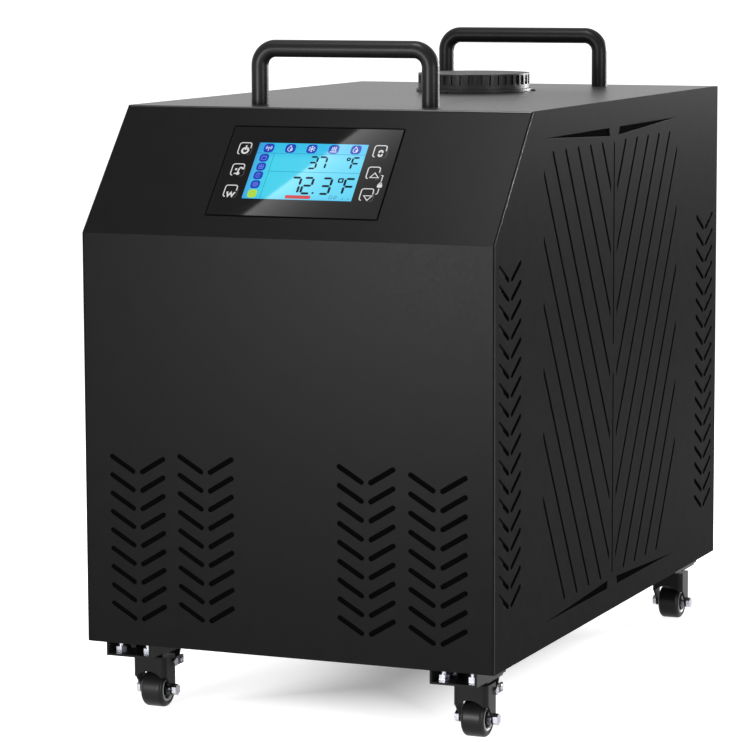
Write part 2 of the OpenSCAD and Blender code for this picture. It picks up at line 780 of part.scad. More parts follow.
// Fan shroud, motor on its pedestal and the turning blades
fan_y = cond_y + cond_d / 2;
fan_z = cond_z + cond_h / 2;
shroud_t = 2;
shroud_x = cond_x - shroud_t;
ring_depth = 30;
tip_gap = 4;
hub_r = 28;
blade_w = 50;
blade_turn = 32;
blade_t = 2;
fan_mid_x = shroud_x - ring_depth / 2;
motor_r = 38;
motor_len = 44;
shaft_r = 4;
shaft_in = 22;
hub_h = 24;
shaft_lap = 2;
motor_gap = 4;
motor_x = fan_mid_x - hub_h / 2 - motor_gap;
module fan_shroud() {
    hole_r = fan_d / 2 + tip_gap;
    color([0.12, 0.12, 0.13])
    difference() {
        union() {
            translate([shroud_x, cond_y, cond_z]) cube([shroud_t, cond_d, cond_h]);
            translate([shroud_x - ring_depth, fan_y, fan_z]) rotate([0, 90, 0])
                cylinder(r = hole_r + shroud_t, h = ring_depth + shroud_t);
        }
        translate([shroud_x - ring_depth - overrun, fan_y, fan_z]) rotate([0, 90, 0])
            cylinder(r = hole_r, h = ring_depth + shroud_t + 2 * overrun);
    }
}
module fan_motor() {
    leg_w = motor_r;
    color([0.35, 0.36, 0.38])
    difference() {
        union() {
            translate([motor_x - motor_len, fan_y, fan_z]) rotate([0, 90, 0])
                cylinder(r = motor_r, h = motor_len);
            translate([motor_x - motor_len, fan_y - leg_w / 2, floor_in])
                cube([frame_t * 2, leg_w, fan_z - floor_in]);
            translate([motor_x - motor_len, fan_y - leg_w / 2, floor_in])
                cube([motor_len, leg_w, frame_t * 2]);
        }
        translate([motor_x - shaft_in, fan_y, fan_z]) rotate([0, 90, 0])
            cylinder(r = shaft_r + run_gap, h = shaft_in + overrun);
    }
}
module fan_blade() {
    color([0.15, 0.15, 0.16])
    translate([fan_mid_x, fan_y, fan_z]) rotate([0, 90, 0]) {
        translate([0, 0, -hub_h / 2]) cylinder(r = hub_r, h = hub_h);
        translate([0, 0, motor_x - shaft_in + shaft_lap - fan_mid_x])
            cylinder(r = shaft_r, h = fan_mid_x - motor_x + shaft_in);
        for (i = [0 : fan_blades - 1]) rotate(i * 360 / fan_blades)
            translate([hub_r * 0.8, 0, 0]) rotate([blade_turn, 0, 0])
                translate([0, -blade_w / 2, -blade_t / 2])
                    cube([fan_d / 2 - hub_r * 0.8 - tip_gap, blade_w, blade_t]);
    }
}

// Heat exchanger barrel with a water port and two refrigerant stubs
barrel_x = outlet_x;
barrel_y = back_y - barrel_back;
barrel_z = floor_in;
rim_h = 14;
water_side_up = 150;
water_side_z = under_z + water_side_up;
liquid_side = 14;
gas_side = 20;
stub_side = 15;
liquid_x = barrel_x + liquid_side;
gas_x = barrel_x - gas_side;
gas_y = barrel_y + stub_side;
liquid_y = barrel_y - stub_side;
barrel_stub = 20;
module heat_exchanger() {
    color([0.20, 0.21, 0.22]) {
        translate([barrel_x, barrel_y, barrel_z]) {
            cylinder(d = barrel_d, h = barrel_h);
            for (z = [0, barrel_h - rim_h]) translate([0, 0, z])
                cylinder(d = barrel_d + 2 * barrel_rim, h = rim_h);
        }
        for (place = [[liquid_x, liquid_y], [gas_x, gas_y]])
            translate([place[0], place[1], barrel_z + barrel_h - overrun])
                cylinder(d = pipe_d, h = barrel_stub + overrun);
        bar([barrel_x, barrel_y, water_side_z],
            [barrel_x + barrel_d / 2 + stub_len, barrel_y, water_side_z], 2 * stub_r);
        bar([barrel_x, barrel_y, port_z],
            [barrel_x, barrel_y + barrel_d / 2 + barrel_rim, port_z], 2 * stub_r);
    }
}

// Refrigerant pipes: discharge, liquid and suction lines, and the drier in the liquid line
pipe_rise = 25.5;
cond_top = cond_z + cond_h;
line_z = cond_top + pipe_rise;
cond_mid_x = cond_x + cond_t / 2;
drier_x = -20;
drier_len = 90;
drier_d = 32;
drier_gap = 8;
liquid_line_y = filter_y - flange_r - drier_gap - drier_d / 2;
suction_rise = 24;
suction_z = line_z + suction_rise;
module copper_pipes() {
    color([0.72, 0.42, 0.25]) {
        bent_bar([[comp_x, comp_y, comp_z + comp_h + comp_stub_h], [comp_x, comp_y, line_z],
            [cond_mid_x, comp_y, line_z], [cond_mid_x, cond_y + cond_d * 0.1, line_z],
            [cond_mid_x, cond_y + cond_d * 0.1, cond_top]], pipe_d, pipe_bend);
        bent_bar([[cond_mid_x, liquid_line_y, cond_top], [cond_mid_x, liquid_line_y, line_z],
            [drier_x + drier_len / 2, liquid_line_y, line_z]], pipe_d, pipe_bend);
        bent_bar([[drier_x - drier_len / 2, liquid_line_y, line_z],
            [liquid_x, liquid_line_y, line_z], [liquid_x, liquid_y, line_z],
            [liquid_x, liquid_y, barrel_z + barrel_h + barrel_stub]], pipe_d, pipe_bend);
        bent_bar([[gas_x, gas_y, barrel_z + barrel_h + barrel_stub], [gas_x, gas_y, suction_z],
            [gas_x, accum_y, suction_z], [gas_x, accum_y, accum_z + accum_h]], pipe_d, pipe_bend);
        bent_bar([[accum_x, accum_y, accum_z], [accum_x, accum_y, accum_low],
            [accum_x, comp_y + comp_d / 2 + comp_stub_h / 2, accum_low]], pipe_d, pipe_bend);
    }
}
module filter_drier() {
    color([0.75, 0.55, 0.30])
    translate([drier_x - drier_len / 2, liquid_line_y, line_z]) rotate([0, 90, 0])
        cylinder(d = drier_d, h = drier_len);
}

// Circulation pump: volute with its impeller, motor on a foot
pump_up = 58;
pump_z = under_z + pump_up;
volute_r = 34;
volute_w = 26;
volute_wall = 4;
pump_x = -34;
pump_motor_x = pump_x + volute_w;
pump_motor_r = 34;
pump_motor_len = 72;
impeller_r = 26;
impeller_t = 12;
pump_out_up = 12;
pump_out_z = pump_z + volute_r + pump_out_up;
module pump_volute() {
    color([0.10, 0.10, 0.11])
    translate([0, filter_y, pump_z])
    difference() {
        union() {
            translate([pump_x, 0, 0]) rotate([0, 90, 0]) cylinder(r = volute_r, h = volute_w);
            translate([pump_x - stub_len, 0, 0]) rotate([0, 90, 0])
                cylinder(r = stub_r, h = stub_len + overrun);
            translate([pump_x + volute_w / 2, 0, 0])
                cylinder(r = stub_r, h = pump_out_z - pump_z);
        }
        translate([pump_x + volute_wall, 0, 0]) rotate([0, 90, 0])
            cylinder(r = volute_r - volute_wall, h = volute_w - volute_wall);
        translate([pump_x - stub_len - overrun, 0, 0]) rotate([0, 90, 0])
            cylinder(r = stub_bore_r, h = stub_len + volute_wall + 2 * overrun);
        translate([pump_x + volute_w / 2, 0, 0])
            cylinder(r = stub_bore_r, h = pump_out_z - pump_z + overrun);
    }
}
module pump_motor() {
    color([0.30, 0.31, 0.33])
    difference() {
        union() {
            translate([pump_motor_x, filter_y, pump_z]) rotate([0, 90, 0])
                cylinder(r = pump_motor_r, h = pump_motor_len);
            translate([pump_motor_x + pump_motor_len * 0.2, filter_y - pump_motor_r * 0.8, floor_in])
                cube([pump_motor_len * 0.6, pump_motor_r * 1.6, pump_z - floor_in]);
        }
        translate([pump_motor_x - overrun, filter_y, pump_z]) rotate([0, 90, 0])
            cylinder(r = shaft_r + run_gap, h = shaft_in + overrun);
    }
}
module pump_impeller() {
    gap = (volute_w - volute_wall - impeller_t) / 2;
    disc_t = impeller_t / 4;
    color([0.85, 0.85, 0.82])
    translate([pump_x + volute_wall + gap, filter_y, pump_z]) rotate([0, 90, 0]) {
        translate([0, 0, impeller_t - disc_t]) cylinder(r = impeller_r, h = disc_t);
        cylinder(r = impeller_r * 0.3, h = impeller_t);
        translate([0, 0, impeller_t - overrun])
            cylinder(r = shaft_r, h = gap + shaft_in - overrun);
        for (i = [0 : 5]) rotate(i * 60) translate([0, -disc_t / 2, 0])
            cube([impeller_r * 0.95, disc_t, impeller_t]);
    }
}

// Water hoses inside the cabinet
hose_d = 18;
hose_bend = 18;
inlet_inner_len = 22;
inlet_inner_y = back_y - sheet_t - inlet_inner_len;
module suction_hose() {
    elbow_x = pump_x - stub_len - 1.4 * hose_bend;
    turn_z = bowl_z - stub_len - 1.2 * hose_bend;
    color([0.25, 0.26, 0.28])
    bent_bar([[0, filter_y, bowl_z - stub_len], [0, filter_y, turn_z],
        [elbow_x, filter_y, turn_z], [elbow_x, filter_y, pump_z],
        [pump_x - stub_len, filter_y, pump_z]], hose_d, hose_bend);
}
module pump_hose() {
    x = pump_x + volute_w / 2;
    color([0.25, 0.26, 0.28])
    bent_bar([[x, filter_y, pump_out_z], [x, filter_y, water_side_z],
        [x, barrel_y, water_side_z], [barrel_x + barrel_d / 2 + stub_len, barrel_y, water_side_z]],
        hose_d, hose_bend);
}
module return_hose() {
    color([0.25, 0.26, 0.28])
    bent_bar([[inlet_x, inlet_inner_y, port_z], [inlet_x, filter_y, port_z],
        [neck_r + stub_len, filter_y, port_z]], hose_d, hose_bend);
}

// Control box with its board, and the run capacitor on its lid
box_w = 110;
box_d = 62;
box_h = 170;
box_gap = 5.6;
box_front = 22;
box_x = caster_x - bolt_dx - m6_head_r - box_gap - box_w;
box_y = front_y + box_front;
box_wall = 2;
module control_box() {
    color([0.55, 0.56, 0.58])
    translate([box_x, box_y, floor_in])
    difference() {
        cube([box_w, box_d, box_h]);
        translate([box_wall, box_wall, box_wall])
            cube([box_w - 2 * box_wall, box_d, box_h - 2 * box_wall]);
    }
}
module control_board() {
    board_gap = 6;
    color([0.10, 0.35, 0.18])
    translate([box_x + board_gap, box_y + box_wall, floor_in + board_gap]) {
        translate([0, board_gap, 0])
            cube([box_w - 2 * board_gap, board_t, box_h - 2 * board_gap]);
        for (x = [board_gap, box_w - 3 * board_gap], z = [board_gap, box_h - 3 * board_gap])
            translate([x, 0, z]) rotate([-90, 0, 0]) cylinder(r = board_gap / 2, h = board_gap);
        translate([box_w * 0.2, board_gap, box_h * 0.3]) cube([box_w * 0.3, box_d * 0.4, box_h * 0.2]);
        translate([box_w * 0.3, board_gap, box_h * 0.62]) cube([box_w * 0.2, box_d * 0.3, box_h * 0.1]);
    }
}
cap_can_d = 40;
cap_can_h = 70;
module run_capacitor() {
    color([0.80, 0.80, 0.80])
    translate([box_x + box_w / 2, box_y + box_d / 2, floor_in + box_h]) {
        cylinder(d = cap_can_d, h = cap_can_h);
        for (way = [-1, 1]) translate([way * cap_can_d / 4, 0, cap_can_h])
            cylinder(d = cap_can_d / 8, h = cap_can_d / 4);
    }
}

// Threaded water port: stub outside, hexagon collar, nut inside
module water_port(x, inner_len) {
    collar_side_r = port_d * 0.72;
    nut_t = 6;
    color([0.72, 0.60, 0.32])
    translate([x, back_y, port_z]) rotate([-90, 0, 0])
    difference() {
        union() {
            cylinder(r = collar_side_r, h = port_collar_t, $fn = 6);
            cylinder(d = port_d, h = port_out);
            translate([0, 0, -sheet_t]) cylinder(r = port_hole_r, h = sheet_t + overrun);
            translate([0, 0, -sheet_t - nut_t]) cylinder(r = collar_side_r, h = nut_t, $fn = 6);
            translate([0, 0, -sheet_t - inner_len]) cylinder(r = stub_r, h = inner_len + overrun);
        }
        translate([0, 0, -sheet_t - inner_len - overrun])
            cylinder(r = stub_bore_r, h = inner_len + sheet_t + port_out + 2 * overrun);
        translate([0, 0, port_collar_t]) cylinder(r = stub_r, h = port_out);
    }
}
module water_inlet() water_port(inlet_x, inlet_inner_len);
module water_outlet() water_port(outlet_x, barrel_back - sheet_t - barrel_d / 2 - barrel_rim);

// Cable gland for the mains lead
module cable_gland() {
    collar_l = 5;
    dome_l = 12;
    lead_r = 4;
    color([0.06, 0.06, 0.06])
    translate([gland_x, back_y, under_z + gland_up]) rotate([-90, 0, 0])
    difference() {
        union() {
            cylinder(r = gland_collar_r, h = collar_l, $fn = 6);
            cylinder(r = gland_r, h = collar_l + dome_l);
            translate([0, 0, -sheet_t]) cylinder(r = gland_r, h = sheet_t + overrun);
            translate([0, 0, -sheet_t - collar_l]) cylinder(r = gland_collar_r, h = collar_l, $fn = 6);
        }
        translate([0, 0, -sheet_t - collar_l - overrun])
            cylinder(r = lead_r, h = sheet_t + 2 * collar_l + dome_l + 2 * overrun);
    }
}

// Caster parts. Each is drawn about its swivel axis, with the wheel behind it at no turn.
plate_t = 2;
plate_l = 39;
plate_inset = 1;
riser_t = 2;
riser_behind = 24.5;
sink_r = 5;
module sink_hole(z, t) {
    slope = (sink_r - m6_r) / t;
    translate([0, 0, z - overrun])
        cylinder(r1 = sink_r + hole_gap + overrun * slope, r2 = pan_hole_r, h = t + overrun);
    translate([0, 0, z]) cylinder(r = pan_hole_r, h = t + overrun);
}
module riser_brackets() {
    color([0.12, 0.12, 0.13])
    difference() {
        for (place = CORNERS)
            translate([place[0] - riser_w / 2, place[1] + riser_behind - riser_len, caster_h])
                difference() {
                    cube([riser_w, riser_len, riser_h]);
                    translate([riser_t, -overrun, riser_t])
                        cube([riser_w - 2 * riser_t, riser_len + 2 * overrun, riser_h]);
                }
        at_bolts([-bolt_dy, bolt_dy]) translate([0, 0, caster_h - overrun])
            cylinder(r = pan_hole_r, h = riser_t + 2 * overrun);
        at_bolts([-front_bolt_dy]) sink_hole(caster_h, riser_t);
    }
}
kingpin_r = 4;
crown_t = 2;
race_r = 10;
race_h = 5.5;
race_gap = 0.3;
crown_z = caster_h - plate_t - race_h - race_gap - crown_t;
kingpin_head_r = 5;
kingpin_head_t = 2;
module swivel_plates() {
    plate_w = riser_w - 2 * plate_inset;
    race_z = crown_z + crown_t + race_gap;
    head_z = crown_z - race_gap - kingpin_head_t;
    color([0.10, 0.10, 0.11])
    difference() {
        for (place = CORNERS) translate([place[0], place[1], 0]) {
            translate([-plate_w / 2, -plate_l / 2, caster_h - plate_t])
                cube([plate_w, plate_l, plate_t]);
            translate([0, 0, race_z]) cylinder(r = race_r, h = caster_h - plate_t - race_z);
            translate([0, 0, head_z]) cylinder(r = kingpin_r, h = race_z + race_h / 2 - head_z);
            translate([0, 0, head_z]) cylinder(r = kingpin_head_r, h = kingpin_head_t);
        }
        at_bolts([-bolt_dy, bolt_dy]) sink_hole(caster_h - plate_t, plate_t);
    }
}
module caster_bolts() {
    color([0.78, 0.79, 0.80])
    for (y = bolt_rows) at_bolts([y]) {
        head_z = y < -bolt_dy ? caster_h : caster_h - plate_t;
        translate([0, 0, head_z]) cylinder(r1 = sink_r, r2 = m6_r, h = plate_t);
        translate([0, 0, head_z]) cylinder(r = m6_r, h = floor_in + m6_nut_h - head_z);
        translate([0, 0, caster_h + riser_t]) cylinder(r = m6_head_r, h = m6_nut_h, $fn = 6);
        translate([0, 0, floor_in]) cylinder(r = m6_head_r, h = m6_nut_h, $fn = 6);
    }
}

// Fork: a crown and a rounded wall round the wheel, cut to an arch in front
fork_gap = 3.5;
fork_in = wheel_w / 2 + fork_gap;
fork_t = 2;
fork_out = fork_in + fork_t;
web_gap = 0.5;
fork_ahead = kingpin_head_r + web_gap + fork_t;
fork_behind = 3;
fork_rear = trail + fork_behind;
plan_round = 5;
leg_drop = 17.5;
leg_z = crown_z - leg_drop;
arch_drop = 12;
arch_h = 12;
arch_r = (fork_out * fork_out + arch_h * arch_h) / (2 * arch_h);
arch_z = crown_z - arch_drop - arch_r;
axle_r = 3;
axle_z = wheel_d / 2;
boss_r = 5;
brake_pin_r = 2;
brake_boss_r = 3.5;
brake_behind = 2;
brake_drop = 5.9;
brake_y = trail + brake_behind;
brake_z = crown_z - brake_drop;
module caster(place) {
    translate([place[0], place[1], 0]) rotate(caster_turn) children();
}
module across(y, z, r, half) {
    translate([-half, y, z]) rotate([0, 90, 0]) cylinder(r = r, h = 2 * half);
}
module fork_plan(inset, rear) {
    half = fork_out - inset;
    front = inset - fork_ahead;
    turn_r = plan_round - inset;
    polygon(concat([[half, rear], [-half, rear]],
        arc([turn_r - half, front + turn_r], turn_r, 180, 270),
        arc([half - turn_r, front + turn_r], turn_r, 270, 360)));
}
module fork_profile(braked) {
    polygon([[-fork_ahead - overrun, crown_z + crown_t], [-fork_ahead - overrun, leg_z],
        [plan_round - fork_ahead, leg_z], [trail - boss_r * 0.8, axle_z + boss_r * 0.3],
        [trail, axle_z], [fork_rear, axle_z], [fork_rear, crown_z + crown_t]]);
    translate([trail, axle_z]) circle(r = boss_r);
    if (braked) translate([brake_y, brake_z]) circle(r = brake_boss_r);
}
module fork(place) {
    braked = place[1] < 0;
    low = axle_z - boss_r - overrun;
    far = fork_rear + boss_r;
    color([0.14, 0.14, 0.15])
    caster(place) difference() {
        union() {
            intersection() {
                translate([0, 0, low]) linear_extrude(crown_z + crown_t + overrun - low)
                    difference() {
                        fork_plan(0, far);
                        fork_plan(fork_t, far + overrun);
                    }
                yz_sheet(-fork_out - overrun, 2 * (fork_out + overrun)) fork_profile(braked);
            }
            translate([0, 0, crown_z]) linear_extrude(crown_t) fork_plan(0, fork_rear);
        }
        xz_sheet(plan_round - fork_ahead, plan_round + overrun)
            translate([0, arch_z]) circle(r = arch_r);
        translate([0, 0, crown_z - overrun])
            cylinder(r = kingpin_r + run_gap, h = crown_t + 2 * overrun);
        across(trail, axle_z, axle_r + run_gap, fork_out + overrun);
        if (braked) across(brake_y, brake_z, brake_pin_r + run_gap, fork_out + overrun);
    }
}
tyre_round = 4;
hub_dish = 3;
module wheel(place) {
    r = wheel_d / 2;
    half = wheel_w / 2;
    rim_r = r * 0.72;
    color([0.09, 0.09, 0.09])
    caster(place) translate([0, trail, axle_z]) rotate([0, 90, 0])
    rotate_extrude() difference() {
        union() {
            translate([0, -half]) square([r - tyre_round, wheel_w]);
            translate([0, -half + tyre_round]) square([r, wheel_w - 2 * tyre_round]);
            for (way = [-1, 1]) translate([r - tyre_round, way * (half - tyre_round)])
                circle(r = tyre_round);
        }
        translate([-overrun, -half - overrun]) square([axle_r + run_gap + overrun, wheel_w + 2 * overrun]);
        for (way = [0, 1]) mirror([0, way])
            translate([axle_r * 2, half - hub_dish]) square([rim_r - axle_r * 2, hub_dish + overrun]);
    }
}

// Axle bolt of each wheel, and the pivot pin of each brake
pin_head_r = 3.7;
pin_head_t = 2;
module axle(place) {
    color([0.80, 0.81, 0.82])
    caster(place) {
        across(trail, axle_z, axle_r, fork_out + m6_head_h);
        for (side = [-fork_out - m6_head_h, fork_out]) translate([side, trail, axle_z])
            rotate([0, 90, 0]) cylinder(r = m6_head_r, h = m6_head_h, $fn = 6);
        if (place[1] < 0) {
            across(brake_y, brake_z, brake_pin_r, fork_out + pin_head_t);
            for (side = [-fork_out - pin_head_t, fork_out]) translate([side, brake_y, brake_z])
                rotate([0, 90, 0]) cylinder(r = pin_head_r, h = pin_head_t);
        }
    }
}
brake_arm = 20;
brake_t = 2;
brake_side_h = 8;
brake_swing = 20;
pad_h = 9;
pad_lean = 25;
pad_side = 3;
brake_nose = norm([brake_behind, brake_z - axle_z]) - wheel_d / 2 - 2 * fit_gap;
nose_turn = atan2(axle_z - brake_z, -brake_behind) + brake_swing;
module brake(place) {
    half = fork_in - fit_gap;
    start = brake_boss_r + fit_gap;
    wide = fork_out - fit_gap;
    wide_y = start + fit_gap;
    color([0.08, 0.08, 0.08])
    caster(place) translate([0, brake_y, brake_z]) difference() {
        union() {
            across(0, 0, 2 * brake_pin_r, half);
            translate([0, 0, -brake_t / 2]) linear_extrude(brake_t)
                polygon([[-half + fit_gap, 0], [half - fit_gap, 0], [half - fit_gap, wide_y],
                    [wide, wide_y], [wide, brake_arm], [-wide, brake_arm], [-wide, wide_y],
                    [-half + fit_gap, wide_y]]);
            for (side = [-fork_out, fork_in]) translate([side, start, -brake_side_h / 2])
                cube([fork_t, brake_arm - brake_t / 2 - start, brake_side_h]);
            across(brake_arm, 0, brake_t, half);
            translate([pad_side - half, brake_arm, 0]) rotate([-pad_lean, 0, 0])
                translate([0, -brake_t / 2, 0]) cube([2 * (half - pad_side), brake_t, pad_h]);
            translate([-half + fit_gap, 0, 0]) rotate([nose_turn, 0, 0])
                translate([0, 0, -brake_t / 2]) cube([2 * (half - fit_gap), brake_nose, brake_t]);
        }
        across(0, 0, brake_pin_r + run_gap, half + overrun);
    }
}

base_pan();
front_cover();
left_side_panel();
right_side_panel();
top_panel();
rear_panel();
inner_frame();
dust_filters();
cabinet_screws();
front_handle();
rear_handle();
display_glass();
lcd_module();
display_board();
display_housing();
filter_bowl();
filter_cartridge();
filter_collar();
cap_seal();
filter_cap();
compressor();
compressor_mounts();
accumulator();
condenser();
fan_shroud();
fan_motor();
fan_blade();
heat_exchanger();
filter_drier();
copper_pipes();
pump_volute();
pump_motor();
pump_impeller();
suction_hose();
pump_hose();
return_hose();
control_box();
control_board();
run_capacitor();
water_inlet();
water_outlet();
cable_gland();
riser_brackets();
swivel_plates();
caster_bolts();
fork(CORNERS[0]);  // fork_front_left
fork(CORNERS[1]);  // fork_front_right
fork(CORNERS[2]);  // fork_rear_left
fork(CORNERS[3]);  // fork_rear_right
wheel(CORNERS[0]);  // wheel_front_left
wheel(CORNERS[1]);  // wheel_front_right
wheel(CORNERS[2]);  // wheel_rear_left
wheel(CORNERS[3]);  // wheel_rear_right
axle(CORNERS[0]);  // axle_front_left
axle(CORNERS[1]);  // axle_front_right
axle(CORNERS[2]);  // axle_rear_left
axle(CORNERS[3]);  // axle_rear_right
brake(CORNERS[0]);  // brake_front_left
brake(CORNERS[1]);  // brake_front_right
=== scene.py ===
"""Looks of the ice bath chiller: finishes, lit display, caster and fitting details, studio."""
import json
import math

import bmesh
import bpy
from mathutils import Matrix, Vector


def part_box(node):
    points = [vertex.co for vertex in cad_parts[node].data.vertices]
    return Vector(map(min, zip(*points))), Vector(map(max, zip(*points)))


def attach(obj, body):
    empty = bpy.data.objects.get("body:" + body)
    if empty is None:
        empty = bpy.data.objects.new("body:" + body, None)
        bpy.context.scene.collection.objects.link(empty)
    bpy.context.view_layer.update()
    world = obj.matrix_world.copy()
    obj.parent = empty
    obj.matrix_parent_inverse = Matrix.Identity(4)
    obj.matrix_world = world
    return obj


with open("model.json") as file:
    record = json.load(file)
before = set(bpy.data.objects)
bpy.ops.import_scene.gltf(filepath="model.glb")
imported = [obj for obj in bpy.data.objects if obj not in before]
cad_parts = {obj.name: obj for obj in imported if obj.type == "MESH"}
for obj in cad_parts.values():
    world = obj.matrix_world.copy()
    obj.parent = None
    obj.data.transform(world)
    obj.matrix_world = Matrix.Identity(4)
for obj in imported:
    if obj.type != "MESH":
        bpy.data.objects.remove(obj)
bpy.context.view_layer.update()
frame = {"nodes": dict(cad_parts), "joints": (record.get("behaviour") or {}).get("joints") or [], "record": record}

MM = 0.001


def linear(value):
    """Linear share of an 8-bit screen value."""
    share = value / 255
    return ((share + 0.055) / 1.055) ** 2.4 if value > 10 else share / 12.92


def srgb(r, g=None, b=None):
    """Linear colour of 8-bit screen values; one value gives a grey."""
    values = (r, r, r) if g is None else (r, g, b)
    return tuple(linear(v) for v in values) + (1.0,)


def shade(grey):
    """A near-neutral grey, a little cool."""
    return (grey, grey, grey * 1.04, 1.0)


# Materials
def material(name, base, roughness, metallic=0.0, specular=0.5, ior=1.5):
    """A principled material."""
    mat = bpy.data.materials.new(name)
    mat.use_nodes = True
    shader = mat.node_tree.nodes["Principled BSDF"]
    shader.inputs["Base Color"].default_value = base
    shader.inputs["Roughness"].default_value = roughness
    shader.inputs["Metallic"].default_value = metallic
    shader.inputs["Specular IOR Level"].default_value = specular
    shader.inputs["IOR"].default_value = ior
    return mat


def node(mat, kind, **values):
    """A new node, with values for its inputs or its settings."""
    made = mat.node_tree.nodes.new(kind)
    for key, value in values.items():
        if key in made.inputs:
            made.inputs[key].default_value = value
        else:
            setattr(made, key, value)
    return made


def link(mat, source, target):
    mat.node_tree.links.new(source, target)


def shader_of(mat):
    return mat.node_tree.nodes["Principled BSDF"]


def object_noise(mat, scale, detail=4.0):
    """Noise in the object's own space; scale in waves per metre."""
    place = node(mat, "ShaderNodeTexCoord")
    noise = node(mat, "ShaderNodeTexNoise", Scale=scale, Detail=detail)
    link(mat, place.outputs["Object"], noise.inputs["Vector"])
    return noise.outputs["Fac"]


def spread(mat, factor, low, high):
    """Maps the middle of a noise's range to low..high."""
    ramp = node(mat, "ShaderNodeMapRange")
    for key, value in (("From Min", 0.3), ("From Max", 0.7), ("To Min", low), ("To Max", high)):
        ramp.inputs[key].default_value = value
    link(mat, factor, ramp.inputs["Value"])
    return ramp.outputs["Result"]


def vary_colour(mat, scale, dark, light):
    """Cloudy change of the base colour between two colours."""
    mix = node(mat, "ShaderNodeMix", data_type="RGBA")
    link(mat, spread(mat, object_noise(mat, scale), 0.0, 1.0), mix.inputs["Factor"])
    mix.inputs["A"].default_value = dark
    mix.inputs["B"].default_value = light
    link(mat, mix.outputs["Result"], shader_of(mat).inputs["Base Color"])


def vary_roughness(mat, scale, low, high):
    """Cloudy change of the roughness between two values."""
    link(mat, spread(mat, object_noise(mat, scale), low, high), shader_of(mat).inputs["Roughness"])


def grain(mat, scale, depth):
    """Fine relief from a noise; depth in metres."""
    bump = node(mat, "ShaderNodeBump", Strength=1.0, Distance=depth)
    link(mat, object_noise(mat, scale, detail=3.0), bump.inputs["Height"])
    link(mat, bump.outputs["Normal"], shader_of(mat).inputs["Normal"])


# Noise scales in waves per metre, and depths of relief in metres
COAT_CLOUDS, COAT_PATCHES, COAT_GRAIN = 60, 400, 1600
COAT_RELIEF, SMOOTH_RELIEF = 0.00002, 0.00001
PLASTIC_CLOUDS, PLASTIC_GRAIN = 90, 2200
PLASTIC_RELIEF = 0.00003
METAL_PATCHES = 300
GLASS_PATCHES = 30
BOARD_CLOUDS = 200


def powder_coat(name, grey, roughness, ior, relief=COAT_RELIEF):
    """Matt paint; its index sets how much of the studio it mirrors."""
    mat = material(name, shade(grey), roughness, ior=ior)
    vary_colour(mat, COAT_CLOUDS, shade(grey * 0.88), shade(grey * 1.12))
    vary_roughness(mat, COAT_PATCHES, roughness - 0.02, roughness + 0.02)
    grain(mat, COAT_GRAIN, relief)
    return mat


def plastic(name, grey, roughness, specular=0.4):
    """Moulded plastic or rubber with a fine grain."""
    mat = material(name, shade(grey), roughness, specular=specular)
    vary_colour(mat, PLASTIC_CLOUDS, shade(grey * 0.85), shade(grey * 1.15))
    grain(mat, PLASTIC_GRAIN, PLASTIC_RELIEF)
    return mat


def metal(name, colour, roughness):
    """Bare or plated metal with patchy sheen."""
    mat = material(name, colour, roughness, metallic=1.0)
    vary_roughness(mat, METAL_PATCHES, roughness * 0.7, roughness * 1.3)
    return mat


def glow(name, colour, ior=1.3):
    """A lit marking under glass: its own light plus the glass's reflection."""
    mat = material(name, srgb(0), 0.02, ior=ior)
    shader_of(mat).inputs["Emission Color"].default_value = colour
    shader_of(mat).inputs["Emission Strength"].default_value = 1.0
    return mat


# Paints have a grey, a roughness and an index, plastics a grey, a roughness and a mirror level
# The front cover's paint is a darker, shinier copy of the cabinet paint: painted shade and painted sheen on the
# front and the slope.
front_shade_and_sheen_coat = powder_coat("front_shade_and_sheen_coat", 0.003, 0.35, 1.12)
coat = powder_coat("cabinet_coat", 0.008, 0.44, 1.03)
# The top panel's paint is a copy of the cabinet paint that mirrors more: a painted sheen on the top.
top_sheen_coat = powder_coat("top_sheen_coat", 0.007, 0.36, 1.4, SMOOTH_RELIEF)
# The pan's black paint; on the inner frame it is a painted shade for the inside seen through the slots.
pan_coat_and_frame_shade = powder_coat("pan_coat_and_frame_shade", 0.007, 0.5, 1.06)
bar_coat = powder_coat("bar_coat", 0.005, 0.37, 1.22)
fork_coat = powder_coat("fork_coat", 0.005, 0.34, 1.18)
# The edge rods' paint is a lighter, shinier copy of the cabinet paint: a painted highlight along the edges.
edge_highlight_coat = powder_coat("edge_highlight_coat", 0.02, 0.36, 1.3)
# Near-black foam of the dust filters behind the slots, which also stands in for the shade inside them: partly
# painted shade. It also paints the shade in the gap round the display glass.
foam_and_gap_shade = powder_coat("filter_foam_and_shade", 0.0015, 0.9, 1.02)
black_plastic = plastic("black_plastic", 0.014, 0.38)
cap_plastic = plastic("cap_plastic", 0.014, 0.42, 0.24)
wheel_plastic = plastic("wheel_plastic", 0.006, 0.38, 0.15)
rubber = plastic("black_rubber", 0.02, 0.7, 0.25)
hose = plastic("hose_rubber", 0.06, 0.55, 0.3)
barrel = plastic("barrel_plastic", 0.05, 0.4)
white_plastic = plastic("white_plastic", 0.75, 0.4)
rim_grey = plastic("rim_grey", 0.3, 0.35)
enamel = powder_coat("shell_enamel", 0.012, 0.25, 1.5)
motor_grey = powder_coat("motor_enamel", 0.2, 0.4, 1.45)
paper = plastic("filter_paper", 0.8, 0.85, 0.2)
zinc = metal("bright_zinc", srgb(160, 161, 168), 0.3)
sheet_zinc = metal("sheet_zinc", srgb(165, 168, 172), 0.42)
fins = metal("fin_aluminium", srgb(190, 192, 195), 0.35)
copper = metal("copper_tube", srgb(205, 140, 100), 0.28)
brass = metal("port_brass", srgb(200, 168, 95), 0.26)
glass = material("black_glass", srgb(3), 0.02, ior=1.21)
vary_roughness(glass, GLASS_PATCHES, 0.015, 0.03)
